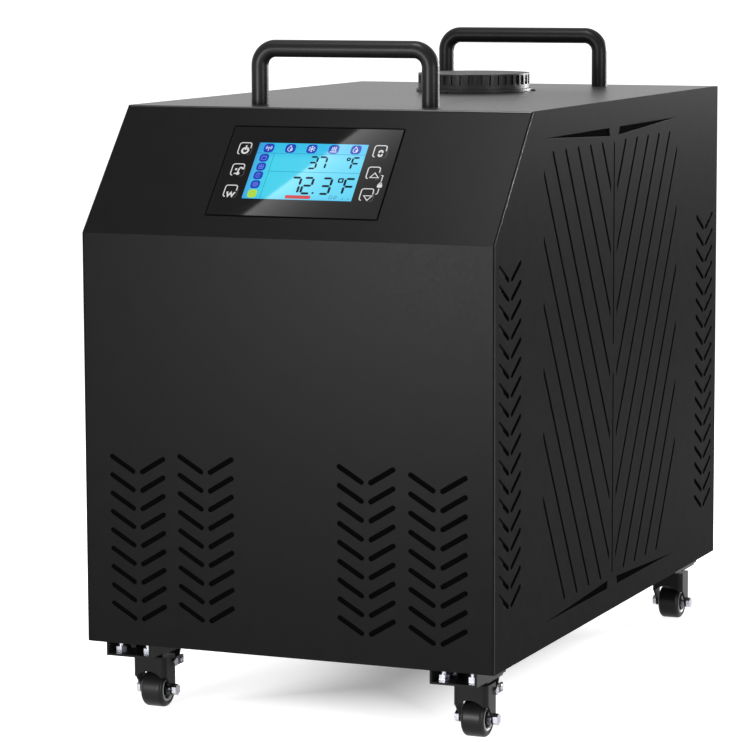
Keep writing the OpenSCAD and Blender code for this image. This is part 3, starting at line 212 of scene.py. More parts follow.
circuit = plastic("circuit_board", 0.05, 0.4)
shader_of(circuit).inputs["Coat Weight"].default_value = 0.3
vary_colour(circuit, BOARD_CLOUDS, (0.01, 0.09, 0.03, 1), (0.02, 0.16, 0.06, 1))

# Looks by material slot, and those of nodes that differ from their slot's
LOOKS = {
    # The inner frame takes the pan's black paint, so the inside reads as shade through the slots: painted shade.
    "cabinet_black": coat, "pan_black": pan_coat_and_frame_shade, "frame_steel": pan_coat_and_frame_shade, "foam_black": foam_and_gap_shade,
    "screw_steel": zinc, "handle_black": bar_coat, "display_glass": glass, "lcd_blue": black_plastic,
    "board_green": circuit, "plastic_black": black_plastic, "pleated_white": paper,
    "rubber_black": rubber, "shell_black": enamel, "fin_aluminium": fins, "motor_grey": motor_grey,
    "copper": copper, "barrel_grey": barrel, "box_grey": sheet_zinc, "hose_grey": hose,
    "impeller_white": white_plastic, "port_brass": brass, "fork_black": fork_coat,
    "wheel_black": wheel_plastic, "bolt_steel": zinc,
}
# The front cover and the top panel take copies of the cabinet paint that carry painted shade and painted sheen.
NODE_LOOKS = {
    "front_cover": front_shade_and_sheen_coat, "top_panel": top_sheen_coat, "filter_cap": cap_plastic, "filter_collar": cap_plastic,
}
# Widths of the rounded edges in millimetres
NODE_BEVELS = {
    "front_cover": 0.5, "left_side_panel": 0.5, "right_side_panel": 0.5, "top_panel": 0.5,
    "rear_panel": 0.5, "filter_cap": 0.45, "filter_collar": 0.4, "display_glass": 0.4,
    "riser_brackets": 0.5, "swivel_plates": 0.3, "base_pan": 0.4,
}
CASTER_BEVEL = 0.25
CASTER_NODES = ("fork", "brake", "wheel", "axle")
BEVEL_ANGLE = 35
WELD_REACH = 0.01


def round_edges(thing, width):
    """Rounds the sharp edges and keeps the flat faces flat."""
    weld = thing.modifiers.new("weld", "WELD")
    weld.merge_threshold = WELD_REACH * MM
    bevel = thing.modifiers.new("bevel", "BEVEL")
    bevel.width = width * MM
    bevel.segments = 2
    bevel.limit_method = "ANGLE"
    bevel.angle_limit = math.radians(BEVEL_ANGLE)
    flat = thing.modifiers.new("flat_faces", "WEIGHTED_NORMAL")
    flat.keep_sharp = True


def dress_nodes():
    slots = {part["node"]: part["material_slot"] for part in frame["record"]["subparts"]}
    for name, thing in frame["nodes"].items():
        thing.data.materials.clear()
        thing.data.materials.append(NODE_LOOKS.get(name, LOOKS[slots[name]]))
        width = CASTER_BEVEL if name.startswith(CASTER_NODES) else NODE_BEVELS.get(name)
        if width:
            round_edges(thing, width)


dress_nodes()


# Shapes drawn on the sloped face, in millimetres across and up it
SLOPE_D = 96
SLOPE_RISE = 111
tilt = math.atan2(SLOPE_RISE, SLOPE_D)
front_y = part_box("front_cover")[0][1]
top_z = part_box("top_panel")[1][2]
slope_matrix = (Matrix.Translation((0, front_y, top_z - SLOPE_RISE * MM))
                @ Matrix.Rotation(tilt, 4, "X") @ Matrix.Scale(MM, 4))
GLASS_TOP = 0.3
GLASS_W = 166
GLASS_H = 99.5
GLASS_UP = 74


def piece(name, bm, look, body, matrix):
    """An object from a mesh drawn in millimetres, placed by the matrix."""
    mesh = bpy.data.meshes.new(name)
    bmesh.ops.recalc_face_normals(bm, faces=bm.faces)
    bm.to_mesh(mesh)
    bm.free()
    mesh.transform(matrix)
    mesh.materials.append(look)
    made = bpy.data.objects.new(name, mesh)
    bpy.context.scene.collection.objects.link(made)
    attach(made, body)
    return made


def prism(bm, outline, low, high):
    """A closed solid over an outline of (x, y) points."""
    bottom = [bm.verts.new((x, y, low)) for x, y in outline]
    top = [bm.verts.new((x, y, high)) for x, y in outline]
    bm.faces.new(bottom[::-1])
    bm.faces.new(top)
    for i in range(len(outline)):
        j = (i + 1) % len(outline)
        bm.faces.new((bottom[i], bottom[j], top[j], top[i]))


def bridge(bm, a, b):
    """Faces between two rings of as many points."""
    for k in range(len(a)):
        m = (k + 1) % len(a)
        bm.faces.new((a[k], a[m], b[m], b[k]))


def arc(cx, cy, r, start, end, steps):
    """Points round a centre between two angles in degrees, both ends included."""
    angles = [math.radians(start + (end - start) * i / steps) for i in range(steps + 1)]
    return [(cx + r * math.cos(a), cy + r * math.sin(a)) for a in angles]


def disc(cx, cy, r, steps):
    return arc(cx, cy, r, 0, 360, steps)[:-1]


def rounded_box(cx, cy, w, h, r, steps=5):
    points = []
    for turn, sx, sy in ((0, 1, 1), (90, -1, 1), (180, -1, -1), (270, 1, -1)):
        points += arc(cx + sx * (w / 2 - r), cy + sy * (h / 2 - r), r, turn, turn + 90, steps)
    return points


def stroke(bm, points, width, low, high, closed=False):
    """A line of even width along the points, mitred at its corners."""
    count = len(points)
    pts = [Vector(p) for p in points]
    rings = []
    for i, point in enumerate(pts):
        ways = []
        if i or closed:
            ways.append((point - pts[i - 1]).normalized())
        if i < count - 1 or closed:
            ways.append((pts[(i + 1) % count] - point).normalized())
        way = sum(ways, Vector((0, 0))).normalized()
        side = Vector((-way.y, way.x))
        first = Vector((-ways[0].y, ways[0].x))
        reach = side * (width / 2 / max(0.5, abs(side.dot(first))))
        left = point + reach
        right = point - reach
        corners = ((left, low), (right, low), (right, high), (left, high))
        rings.append([bm.verts.new((p.x, p.y, z)) for p, z in corners])
    for i in range(count if closed else count - 1):
        bridge(bm, rings[i], rings[(i + 1) % count])
    if not closed:
        bm.faces.new(rings[0])
        bm.faces.new(rings[-1][::-1])


# A painted shade for the dark gap round the display glass: a dark line that lies below the glass's face
GAP_SHADE_W = 1.3
GAP_SHADE_ROUND = 1.2
GAP_SHADE_TOP = GLASS_TOP - 0.2
GAP_SHADE_T = 0.05


def build_gap_shade():
    bm = bmesh.new()
    outline = rounded_box(0, GLASS_UP, GLASS_W + GAP_SHADE_W, GLASS_H + GAP_SHADE_W, GAP_SHADE_ROUND, 3)
    stroke(bm, outline, GAP_SHADE_W, GAP_SHADE_TOP - GAP_SHADE_T, GAP_SHADE_TOP, closed=True)
    piece("glass_gap_shade", bm, foam_and_gap_shade, "cabinet", slope_matrix)


# Display: lit panel, icons, digits and keys
LCD = {"left": -53.4, "low": 43.1, "w": 106.8, "h": 62.8}
LCD_ROUND = 0.6
FILM = 0.04
LCD_TOP = GLASS_TOP + FILM
MARK_TOP = LCD_TOP + FILM
GLYPH_TOP = MARK_TOP + FILM


def lcd_at(share_x, share_y):
    """A point on the slope from shares of the lit panel's width and height."""
    return LCD["left"] + share_x * LCD["w"], LCD["low"] + share_y * LCD["h"]


def colour_ramp(mat, source, start, end, stops):
    """Colours along a value that runs from start to end; stops are (share, colour)."""
    span = node(mat, "ShaderNodeMapRange")
    span.inputs["From Min"].default_value = start
    span.inputs["From Max"].default_value = end
    link(mat, source, span.inputs["Value"])
    ramp = node(mat, "ShaderNodeValToRGB")
    points = ramp.color_ramp.elements
    for share, _ in stops[2:]:
        points.new(share)
    for point, (share, colour) in zip(points, stops):
        point.position = share
        point.color = colour
    link(mat, span.outputs["Result"], ramp.inputs["Fac"])
    return ramp.outputs["Color"]


LCD_ACROSS = ((0.0, srgb(58, 168, 226)), (0.16, srgb(62, 208, 234)), (1.0, srgb(84, 208, 242)))
LCD_UPWARD = ((0.0, srgb(235, 240, 250)), (0.1, srgb(255)), (0.72, srgb(255)), (0.9, srgb(178, 232, 250)))


def lcd_look():
    """Backlight: deeper blue along the top and the left edge."""
    mat = glow("lcd_backlight", srgb(90, 205, 235))
    place = node(mat, "ShaderNodeTexCoord")
    split = node(mat, "ShaderNodeSeparateXYZ")
    link(mat, place.outputs["Object"], split.inputs["Vector"])
    left = LCD["left"] * MM
    low_z = top_z - (SLOPE_RISE - LCD["low"] * math.sin(tilt)) * MM
    high_z = low_z + LCD["h"] * math.sin(tilt) * MM
    across = colour_ramp(mat, split.outputs["X"], left, left + LCD["w"] * MM, LCD_ACROSS)
    upward = colour_ramp(mat, split.outputs["Z"], low_z, high_z, LCD_UPWARD)
    both = node(mat, "ShaderNodeMix", data_type="RGBA", blend_type="MULTIPLY")
    both.inputs["Factor"].default_value = 1.0
    link(mat, across, both.inputs["A"])
    link(mat, upward, both.inputs["B"])
    link(mat, both.outputs["Result"], shader_of(mat).inputs["Emission Color"])
    return mat


lcd_light = lcd_look()
icon_blue = glow("icon_blue", srgb(28, 62, 184), ior=1.2)
icon_green = glow("icon_green", srgb(176, 222, 52))
green_mark = glow("green_mark", srgb(150, 196, 84))
icon_mark = glow("icon_mark", srgb(205, 222, 250))
pale_mark = glow("pale_mark", srgb(112, 140, 240))
digit_ink = glow("digit_ink", srgb(8, 30, 42), ior=1.1)
line_ink = glow("line_ink", srgb(28, 122, 158), ior=1.1)
small_ink = glow("small_ink", srgb(20, 96, 130))
bar_red = glow("bar_red", srgb(206, 66, 72), ior=1.15)
key_white = glow("key_white", srgb(214))
key_grey = glow("key_grey", srgb(88))

SEGMENTS = {"a": (0, 1, 1, 1), "b": (1, 0.5, 1, 1), "c": (1, 0, 1, 0.5), "d": (0, 0, 1, 0),
            "e": (0, 0, 0, 0.5), "f": (0, 0.5, 0, 1), "g": (0, 0.5, 1, 0.5)}
DIGITS = {"0": "abcdef", "2": "abdeg", "3": "abcdg", "7": "abc", "F": "aefg"}
SEGMENT_GAP = 0.18


def digit(bm, char, x, y, w, h, t):
    """A seven-segment digit whose lower left corner is at (x, y)."""
    gap = t * SEGMENT_GAP
    for name in DIGITS[char]:
        x0, y0, x1, y1 = SEGMENTS[name]
        a = Vector((x0 * w, y0 * h))
        b = Vector((x1 * w, y1 * h))
        way = (b - a).normalized()
        side = Vector((-way.y, way.x)) * t / 2
        a = a + way * gap
        b = b - way * gap
        tip = way * t / 2
        outline = [a, a + tip - side, b - tip - side, b, b - tip + side, a + tip + side]
        prism(bm, [(x + p.x, y + p.y) for p in outline], LCD_TOP, MARK_TOP)


def display_piece(name, bm, look):
    return piece(name, bm, look, "cabinet", slope_matrix)


# Rows of digits: character, left edge as a share of the panel's width, width in millimetres
SMALL_ROW = 0.559
SMALL_DIGITS = (("3", 0.513, 7.0), ("7", 0.594, 7.4), ("F", 0.898, 6.6))
SMALL_H, SMALL_T = 12.8, 1.9
SMALL_DEGREE = (0.860, 0.735)
LARGE_ROW = 0.116
LARGE_DIGITS = (("7", 0.407, 8.6), ("2", 0.518, 8.8), ("3", 0.687, 8.8), ("F", 0.893, 9.2))
LARGE_H, LARGE_T = 17.2, 2.3
LARGE_DEGREE = (0.849, 0.359)
LARGE_POINT = (0.631, LARGE_ROW + 0.01)
TINY_ROW = 0.034
TINY_DIGITS = (("0", 0.792, 2.6), ("2", 0.833, 2.6))
TINY_H, TINY_T = 3.2, 0.5
TINY_MARKS = ((0.915, 0.04), (0.965, 0.04))
DIVIDERS = (((0.0, 0.815), (1.0, 0.815)), ((0.165, 0.49), (1.0, 0.49)), ((0.165, 0.0), (0.165, 0.815)))
DIVIDER_W = 0.35
RED_BAR = (0.507, 0.048)
RED_BAR_W, RED_BAR_H = 24.8, 3.8


def digit_row(bm, digits, low, h, t):
    for char, share, w in digits:
        px, py = lcd_at(share, low)
        digit(bm, char, px, py, w, h, t)


def build_lcd():
    bm = bmesh.new()
    x, y = lcd_at(0.5, 0.5)
    prism(bm, rounded_box(x, y, LCD["w"], LCD["h"], LCD_ROUND), GLASS_TOP, LCD_TOP)
    display_piece("lcd_screen", bm, lcd_light)

    bm = bmesh.new()
    for start, end in DIVIDERS:
        stroke(bm, [lcd_at(*start), lcd_at(*end)], DIVIDER_W, LCD_TOP, MARK_TOP)
    display_piece("lcd_dividers", bm, line_ink)

    bm = bmesh.new()
    digit_row(bm, SMALL_DIGITS, SMALL_ROW, SMALL_H, SMALL_T)
    stroke(bm, disc(*lcd_at(*SMALL_DEGREE), 1.4, 16), 1.3, LCD_TOP, MARK_TOP, closed=True)
    digit_row(bm, LARGE_DIGITS, LARGE_ROW, LARGE_H, LARGE_T)
    prism(bm, rounded_box(*lcd_at(*LARGE_POINT), 2.0, 1.8, 0.3), LCD_TOP, MARK_TOP)
    stroke(bm, rounded_box(*lcd_at(*LARGE_DEGREE), 3.9, 3.7, 0.3, 2), 1.4, LCD_TOP, MARK_TOP, closed=True)
    display_piece("lcd_digits", bm, digit_ink)

    bm = bmesh.new()
    digit_row(bm, TINY_DIGITS, TINY_ROW, TINY_H, TINY_T)
    for spot in TINY_MARKS:
        px, py = lcd_at(*spot)
        prism(bm, [(px - 0.7, py - 0.6), (px + 0.7, py - 0.6), (px, py + 0.7)], LCD_TOP, MARK_TOP)
    display_piece("lcd_small_digits", bm, small_ink)

    bm = bmesh.new()
    prism(bm, rounded_box(*lcd_at(*RED_BAR), RED_BAR_W, RED_BAR_H, 1.4), LCD_TOP, MARK_TOP)
    display_piece("lcd_red_bar", bm, bar_red)


# Icons: places as shares of the lit panel, and sizes
TOP_ICONS = (0.0985, 0.298, 0.495, 0.697, 0.898)
TOP_ICON_Y = 0.905
TOP_ICON_W, TOP_ICON_H = 10.0, 9.9
LEFT_ICONS = (0.728, 0.568, 0.413, 0.253, 0.09)
LEFT_ICON_X = 0.083
LEFT_ICON_W, LEFT_ICON_H = 8.9, 9.1
ICON_ROUND = 3.2
TOP_GLYPH_R = 3.3
LEFT_GLYPH_R = 2.9
THICK, THIN, FINE = 0.7, 0.6, 0.5


def mark(bm, points, width, closed=False):
    """A line of an icon's glyph."""
    stroke(bm, points, width, MARK_TOP, GLYPH_TOP, closed)


def dot(bm, cx, cy, r):
    prism(bm, disc(cx, cy, r, 12), MARK_TOP, GLYPH_TOP)


def drop(cx, cy, r):
    """Outline of a water drop."""
    return arc(cx, cy - r * 0.3, r * 0.72, -220, 40, 16) + [(cx, cy + r * 1.05)]


def glyph_waves(bm, cx, cy, r):
    mark(bm, [(cx, cy - r), (cx, cy + 0.1)], THICK)
    dot(bm, cx, cy + 0.4, 0.75)
    for radius in (1.7, 2.8):
        for start in (-42, 138):
            mark(bm, arc(cx, cy + 0.4, radius, start, start + 84, 8), THIN)


def glyph_drop(bm, cx, cy, r):
    mark(bm, drop(cx - 0.3, cy, r * 0.92), THICK, closed=True)
    dot(bm, cx + 0.9, cy - 1.2, 1.15)


def glyph_snow(bm, cx, cy, r):
    for k in range(3):
        a = math.radians(60 * k + 30)
        way = Vector((math.cos(a), math.sin(a))) * r
        mark(bm, [(cx - way.x, cy - way.y), (cx + way.x, cy + way.y)], THICK)
        for sign in (-1, 1):
            fork = Vector((cx, cy)) + way * 0.62 * sign
            for bend in (-45, 45):
                b = a + math.radians(bend) + (math.pi if sign < 0 else 0)
                mark(bm, [fork, fork + Vector((math.cos(b), math.sin(b))) * r * 0.42], FINE)


def glyph_heat(bm, cx, cy, r):
    for dx in (-1.7, 0, 1.7):
        mark(bm, [(cx + dx + 0.45 * math.sin(t * 1.6), cy - 1.6 + t * 0.62) for t in range(8)], 0.65)
    mark(bm, [(cx - r, cy - r * 0.86), (cx + r, cy - r * 0.86)], 0.9)


def glyph_pump(bm, cx, cy, r):
    mark(bm, rounded_box(cx, cy - 0.3, r * 1.5, r * 1.3, 0.5, 3), FINE, closed=True)
    for dx in (-0.9, 0.9):
        mark(bm, [(cx + dx, cy + r * 0.6), (cx + dx, cy + r * 0.95)], FINE)


def glyph_fan(bm, cx, cy, r):
    for k in range(4):
        a = math.radians(90 * k + 45)
        blade = disc(cx + math.cos(a) * r * 0.52, cy + math.sin(a) * r * 0.52, r * 0.42, 12)
        mark(bm, blade, FINE, closed=True)


def glyph_flow(bm, cx, cy, r):
    mark(bm, arc(cx, cy, r * 0.8, 20, 320, 14), FINE)
    mark(bm, [(cx - r * 0.3, cy), (cx, cy + r * 0.3), (cx + r * 0.4, cy - r * 0.2)], FINE)


def glyph_clock(bm, cx, cy, r):
    mark(bm, disc(cx, cy, r * 0.8, 18), FINE, closed=True)
    mark(bm, disc(cx, cy, r * 0.35, 12), FINE, closed=True)


TOP_GLYPHS = (glyph_waves, glyph_drop, glyph_snow, glyph_heat, glyph_drop)
LEFT_GLYPHS = (glyph_pump, glyph_fan, glyph_flow, glyph_clock, glyph_pump)


def build_icons():
    blue, green, marks, pale, faint = (bmesh.new() for _ in range(5))
    for share, glyph in zip(TOP_ICONS, TOP_GLYPHS):
        x, y = lcd_at(share, TOP_ICON_Y)
        prism(blue, rounded_box(x, y, TOP_ICON_W, TOP_ICON_H, ICON_ROUND), LCD_TOP, MARK_TOP)
        glyph(marks, x, y, TOP_GLYPH_R)
    for share, glyph in zip(LEFT_ICONS, LEFT_GLYPHS):
        x, y = lcd_at(LEFT_ICON_X, share)
        last = share == LEFT_ICONS[-1]
        outline = rounded_box(x, y, LEFT_ICON_W, LEFT_ICON_H, ICON_ROUND)
        prism(green if last else blue, outline, LCD_TOP, MARK_TOP)
        glyph(faint if last else pale, x, y, LEFT_GLYPH_R)
    display_piece("lcd_icons_blue", blue, icon_blue)
    display_piece("lcd_icon_green", green, icon_green)
    display_piece("lcd_icon_marks", marks, icon_mark)
    display_piece("lcd_icon_pale_marks", pale, pale_mark)
    display_piece("lcd_icon_green_mark", faint, green_mark)


# Touch keys: columns and rows on the slope, and the frame round each key
KEY_LEFT = -66.8
KEY_RIGHT = 66.0
KEY_Y = (99, 75, 51)
KEY_W = 11.6
KEY_H = 12.7
KEY_ROUND = 2.2
KEY_LINE = 1.0
KEY_TOP = GLASS_TOP + 0.05
KEY_OPEN = 0.3
SHADOW_X, SHADOW_Y = 1.4, -0.9
SHADOW_END = 2.5
SHADOW_W = 0.4

# Signs on the keys: points in millimetres from the key's middle
SIGN_Y = -2.4
SIGN_LEFT_X = 1.1
SIGN_RIGHT_X = 1.2
SPOUT = ((4.9, 0.4), (4.2, 1.9), (2.6, 2.3), (1.5, 1.2), (1.0, -2.0), (1.3, -4.2))
SPOUT_FOOT = ((-2.5, -4.8), (-0.9, -4.2), (1.3, -5.4))
SPOUT_DOTS = ((-1.5, 0.3, 1.2), (1.4, -4.4, 1.7))
WAVE = ((-2.6, -0.9), (-1.0, -5.9), (1.3, -1.9), (3.0, -5.9), (5.0, -1.2))
ARROW_UP = ((-1.9, -5.2), (6.2, -5.2), (1.8, -0.1))
ARROW_DOWN = ((-2.3, -1.3), (2.1, -6.4), (5.7, -1.3))
ARROW_LINE = 0.95
LOCK_X = KEY_RIGHT + 10
BRACKET_HIGH = ((-1.6, -2.6), (0.4, -3.0), (0.1, -4.7), (0.1, -9.4))
BRACKET_LOW = ((0.1, -17.2), (0.1, -21.6), (-0.3, -22.8), (-1.5, -23.6))
BRACKET_LINE = 0.9


def key_frame(bm, cx, cy):
    """A rounded square, open along its bottom and the lower half of its right side."""
    outline = rounded_box(cx, cy, KEY_W, KEY_H, KEY_ROUND, 4)
    start = (cx + KEY_W / 2, cy + KEY_OPEN)
    stroke(bm, [start] + outline[:15], KEY_LINE, GLASS_TOP, KEY_TOP)


def key_shadow(bm, cx, cy):
    """A thin grey line outside the frame's lower right corner."""
    x, y = cx + SHADOW_X, cy + SHADOW_Y
    corner = rounded_box(x, y, KEY_W, KEY_H, KEY_ROUND, 4)[15:]
    start = (x + KEY_W * 0.2, y - KEY_H / 2)
    end = (x + KEY_W / 2, cy + SHADOW_END)
    stroke(bm, [start] + corner + [end], SHADOW_W, GLASS_TOP, KEY_TOP)


def key_line(bm, cx, cy, points, width, closed=False):
    """A line of a key's sign, from points set from the key's middle."""
    stroke(bm, [(cx + x, cy + y) for x, y in points], width, GLASS_TOP, KEY_TOP, closed)


def key_arc(bm, cx, cy, r, start, end, steps, width):
    stroke(bm, arc(cx, cy, r, start, end, steps), width, GLASS_TOP, KEY_TOP)


def build_keys():
    bm, grey = bmesh.new(), bmesh.new()
    for x in (KEY_LEFT, KEY_RIGHT):
        for y in KEY_Y:
            key_frame(bm, x, y)
            key_shadow(grey, x, y)
    display_piece("touch_key_shadows", grey, key_grey)
    high, mid, low = KEY_Y
    # Power sign
    power_x = KEY_LEFT + SIGN_LEFT_X
    key_arc(bm, power_x, high + SIGN_Y, 3.0, 108, 432, 22, 1.9)
    key_line(bm, power_x, high + SIGN_Y, ((0, 0.6), (0, 5.8)), 1.5)
    # Pump sign: a bent spout over its foot, with two round parts
    key_line(bm, KEY_LEFT, mid, SPOUT, 1.4)
    key_line(bm, KEY_LEFT, mid, SPOUT_FOOT, 1.2)
    for x, y, r in SPOUT_DOTS:
        prism(bm, disc(KEY_LEFT + x, mid + y, r, 16), GLASS_TOP, KEY_TOP)
    # Water sign: a wave line
    key_line(bm, KEY_LEFT, low, WAVE, 1.7)
    # Mode sign: two half rings joined back to back
    for way in (-1, 1):
        y = high + SIGN_Y + way * 1.5
        key_arc(bm, KEY_RIGHT + SIGN_RIGHT_X, y, 1.6, 90 * way - 120, 90 * way + 120, 12, 1.7)
    # Arrow up and arrow down
    key_line(bm, KEY_RIGHT, mid, ARROW_UP, ARROW_LINE, closed=True)
    key_line(bm, KEY_RIGHT, low, ARROW_DOWN, ARROW_LINE, closed=True)
    # Bracket with a padlock between the arrow keys
    key_line(bm, LOCK_X, mid, BRACKET_HIGH, BRACKET_LINE)
    key_line(bm, LOCK_X, mid, BRACKET_LOW, BRACKET_LINE)
    prism(bm, rounded_box(LOCK_X - 0.1, mid - 14.2, 4.8, 3.8, 1.0, 3), GLASS_TOP, KEY_TOP)
    key_arc(bm, LOCK_X - 0.1, mid - 12.0, 1.2, 0, 180, 10, 1.0)
    display_piece("touch_key_marks", bm, key_white)


build_gap_shade()
build_lcd()
build_icons()
build_keys()


# Casters: pale rings on the wheels and rivets on the brake levers
CORNERS = ("front_left", "front_right", "rear_left", "rear_right")
# The ring's section on one face of a wheel, as (distance from the middle, radius)
RIM = ((8.1, 12.0), (8.1, 8.8), (9.8, 9.2), (10.6, 10.0), (10.9, 10.9), (10.6, 11.6), (9.8, 12.0))
RIVET_BACK = 14
RIVET_R = 2.6
LEVER_HALF = 16.5
# The domed head's section, as (height from the lever's side, radius)
DOME = ((-0.3, 0.01), (-0.3, RIVET_R), (0.5, RIVET_R), (1.2, RIVET_R * 0.6), (1.4, 0.01))


def spun(bm, profile, steps):
    """A ring about local X from (x, radius) points in order round its section."""
    rings = []
    for i in range(steps):
        a = 2 * math.pi * i / steps
        rings.append([bm.verts.new((x, r * math.cos(a), r * math.sin(a))) for x, r in profile])
    for i in range(steps):
        bridge(bm, rings[i], rings[(i + 1) % steps])


def joint(name):
    return next(j for j in frame["joints"] if j["name"] == name)


def axle_frame(joint_name):
    """Matrix whose X runs along the joint's axis, in millimetres."""
    told = joint(joint_name)
    x = Vector(told["axis"]).normalized()
    z = Vector((0, 0, 1))
    y = z.cross(x)
    turn = Matrix((x, y, z)).transposed().to_4x4()
    return Matrix.Translation(told["pos_m"]) @ turn @ Matrix.Scale(MM, 4)


def build_wheels():
    for corner in CORNERS:
        bm = bmesh.new()
        for way in (-1, 1):
            spun(bm, [(way * x, r) for x, r in RIM], 48)
        made = piece("rim_ring_" + corner, bm, rim_grey, "roller_" + corner,
                     axle_frame("wheel_spin_" + corner))
        made.data.shade_smooth()


def build_levers():
    """The second rivet of each brake lever, with a domed head on either side."""
    for corner in CORNERS[:2]:
        bm = bmesh.new()
        for way in (-1, 1):
            spun(bm, [(way * (LEVER_HALF + x), r) for x, r in DOME], 24)
        matrix = axle_frame("brake_press_" + corner) @ Matrix.Translation((0, RIVET_BACK, 0))
        piece("lever_rivet_" + corner, bm, zinc, "brake_lever_" + corner, matrix)


build_wheels()
build_levers()


# Cabinet: rods along the rolled edges beside the front and the slope; they catch the lamps' light, and their paint
# is a lighter, shinier copy of the cabinet's, a painted highlight
EDGE_R = 0.5
EDGE_RISE = 0.2
EDGE_SIDES = 12


def rod(bm, path, r):
    """A round rod along points that share one X."""
    side = Vector((1, 0, 0))
    angles = [2 * math.pi * k / EDGE_SIDES for k in range(EDGE_SIDES)]
    rings = []
    for i, point in enumerate(path):
        before = path[max(i - 1, 0)]
        after = path[min(i + 1, len(path) - 1)]
        up = (after - before).normalized().cross(side)
        rings.append([bm.verts.new(point + (side * math.cos(a) + up * math.sin(a)) * r) for a in angles])
    for a, b in zip(rings, rings[1:]):
        bridge(bm, a, b)
    bm.faces.new(rings[0][::-1])
    bm.faces.new(rings[-1])


def build_edge_highlights():
    """A rod along each side's front edge, flush with the front and a little proud of the slope."""
    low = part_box("left_side_panel")[0]
    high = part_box("right_side_panel")[1]
    front = front_y / MM
    bend = top_z / MM - SLOPE_RISE
    depth = EDGE_R - EDGE_RISE
    inward = Vector((0, math.sin(tilt), -math.cos(tilt))) * depth
    along = Vector((0, math.cos(tilt), math.sin(tilt))) * (math.hypot(SLOPE_D, SLOPE_RISE) - EDGE_R)
    lift = (EDGE_R - depth * math.sin(tilt)) * math.tan(tilt) - depth * math.cos(tilt)
    for name, x in (("edge_highlight_left", low.x / MM + EDGE_R), ("edge_highlight_right", high.x / MM - EDGE_R)):
        bm = bmesh.new()
        foot = Vector((x, front + EDGE_R, low.z / MM + EDGE_R))
        corner = Vector((x, front + EDGE_R, bend + lift))
        head = Vector((x, front, bend)) + along + inward
        rod(bm, [foot, corner, head], EDGE_R)
        made = piece(name, bm, edge_highlight_coat, "cabinet", Matrix.Scale(MM, 4))
        made.data.shade_smooth()


build_edge_highlights()


# Studio: camera, floor, backdrop and lights
CAMERA_AT = Vector((1.205878, -2.983067, 0.706907))
LOOK_AT = Vector((0.087575, -0.336, 0.334772))
CAMERA_ROLL = -0.2218
FOCAL_PIXELS = 3304.42
FRAME_PIXELS = 750
SENSOR = 36.0


def build_camera():
    ahead = (LOOK_AT - CAMERA_AT).normalized()
    right = ahead.cross(Vector((0, 0, 1))).normalized()
    up = right.cross(ahead)
    matrix = Matrix((right, up, -ahead)).transposed().to_4x4()
    matrix = Matrix.Translation(CAMERA_AT) @ matrix @ Matrix.Rotation(math.radians(CAMERA_ROLL), 4, "Z")
    data = bpy.data.cameras.new("camera")
    data.sensor_fit = "HORIZONTAL"
    data.sensor_width = SENSOR
    data.lens = FOCAL_PIXELS * SENSOR / FRAME_PIXELS
    made = bpy.data.objects.new("camera", data)
    made.matrix_world = matrix
    bpy.context.scene.collection.objects.link(made)
    bpy.context.scene.camera = made


def dim_across(data, radiance, power):
    """Dims a light along its height to a level of one."""
    data.use_nodes = True
    tree = data.node_tree
    place = tree.nodes.new("ShaderNodeNewGeometry")
    split = tree.nodes.new("ShaderNodeSeparateXYZ")
    dim = tree.nodes.new("ShaderNodeMath")
    dim.operation = "POWER"
    dim.inputs[1].default_value = power
    level = tree.nodes.new("ShaderNodeMapRange")
    level.inputs["To Min"].default_value = 1 / radiance
    tree.links.new(place.outputs["Parametric"], split.inputs["Vector"])
    tree.links.new(split.outputs["Y"], dim.inputs[0])
    tree.links.new(dim.outputs["Value"], level.inputs["Value"])
    tree.links.new(level.outputs["Result"], tree.nodes["Emission"].inputs["Strength"])


# Watts of an area light for each square metre and unit of radiance
LIGHT_WATTS = 4


def area_light(name, matrix, size, radiance, fade=None):
    """A rectangle that shines along its own -Z; a fade is the power by which it dims across."""
    data = bpy.data.lights.new(name, "AREA")
    data.shape = "RECTANGLE"
    data.size, data.size_y = size
    data.energy = LIGHT_WATTS * size[0] * size[1] * radiance
    if fade:
        dim_across(data, radiance, fade)
    made = bpy.data.objects.new(name, data)
    made.matrix_world = matrix
    bpy.context.scene.collection.objects.link(made)


def aimed(place, target):
    way = (Vector(target) - Vector(place)).normalized()
    return Matrix.Translation(place) @ way.to_track_quat("-Z", "Y").to_matrix().to_4x4()


# A narrow overhead strip, whose straight edge makes the diagonal glare on the display glass
STRIP_EDGE = Vector((-0.78, -0.666, 2.2))
STRIP_TURN = 34.1
STRIP_SIZE = (1.0, 0.14)
STRIP_RADIANCE = 8.6
STRIP_FADE = 3.8

# Soft lamps: name, place, target, size and radiance
LAMPS = (
    ("overhead", (-0.18, -0.62, 2.2), (0, -0.1, 0.4), (0.4, 0.6), 30),
    ("front", (-0.5, -2.2, 0.4), (0, -0.3, 0.3), (0.65, 0.4), 41),
    ("right", (2.05, -1.05, 0.42), (0.2, -0.2, 0.3), (0.5, 0.8), 14),
    ("back_right", (0.9, 1.95, 0.74), (0.2, 0.1, 0.45), (0.7, 0.4), 38),
)


def build_lights():
    turned = Matrix.Rotation(math.radians(STRIP_TURN), 4, "Z")
    inward = turned @ Vector((0, -STRIP_SIZE[1] / 2, 0))
    strip_matrix = Matrix.Translation(STRIP_EDGE + inward) @ turned
    area_light("strip", strip_matrix, STRIP_SIZE, STRIP_RADIANCE, STRIP_FADE)
    for name, place, target, size, radiance in LAMPS:
        area_light(name, aimed(place, target), size, radiance)


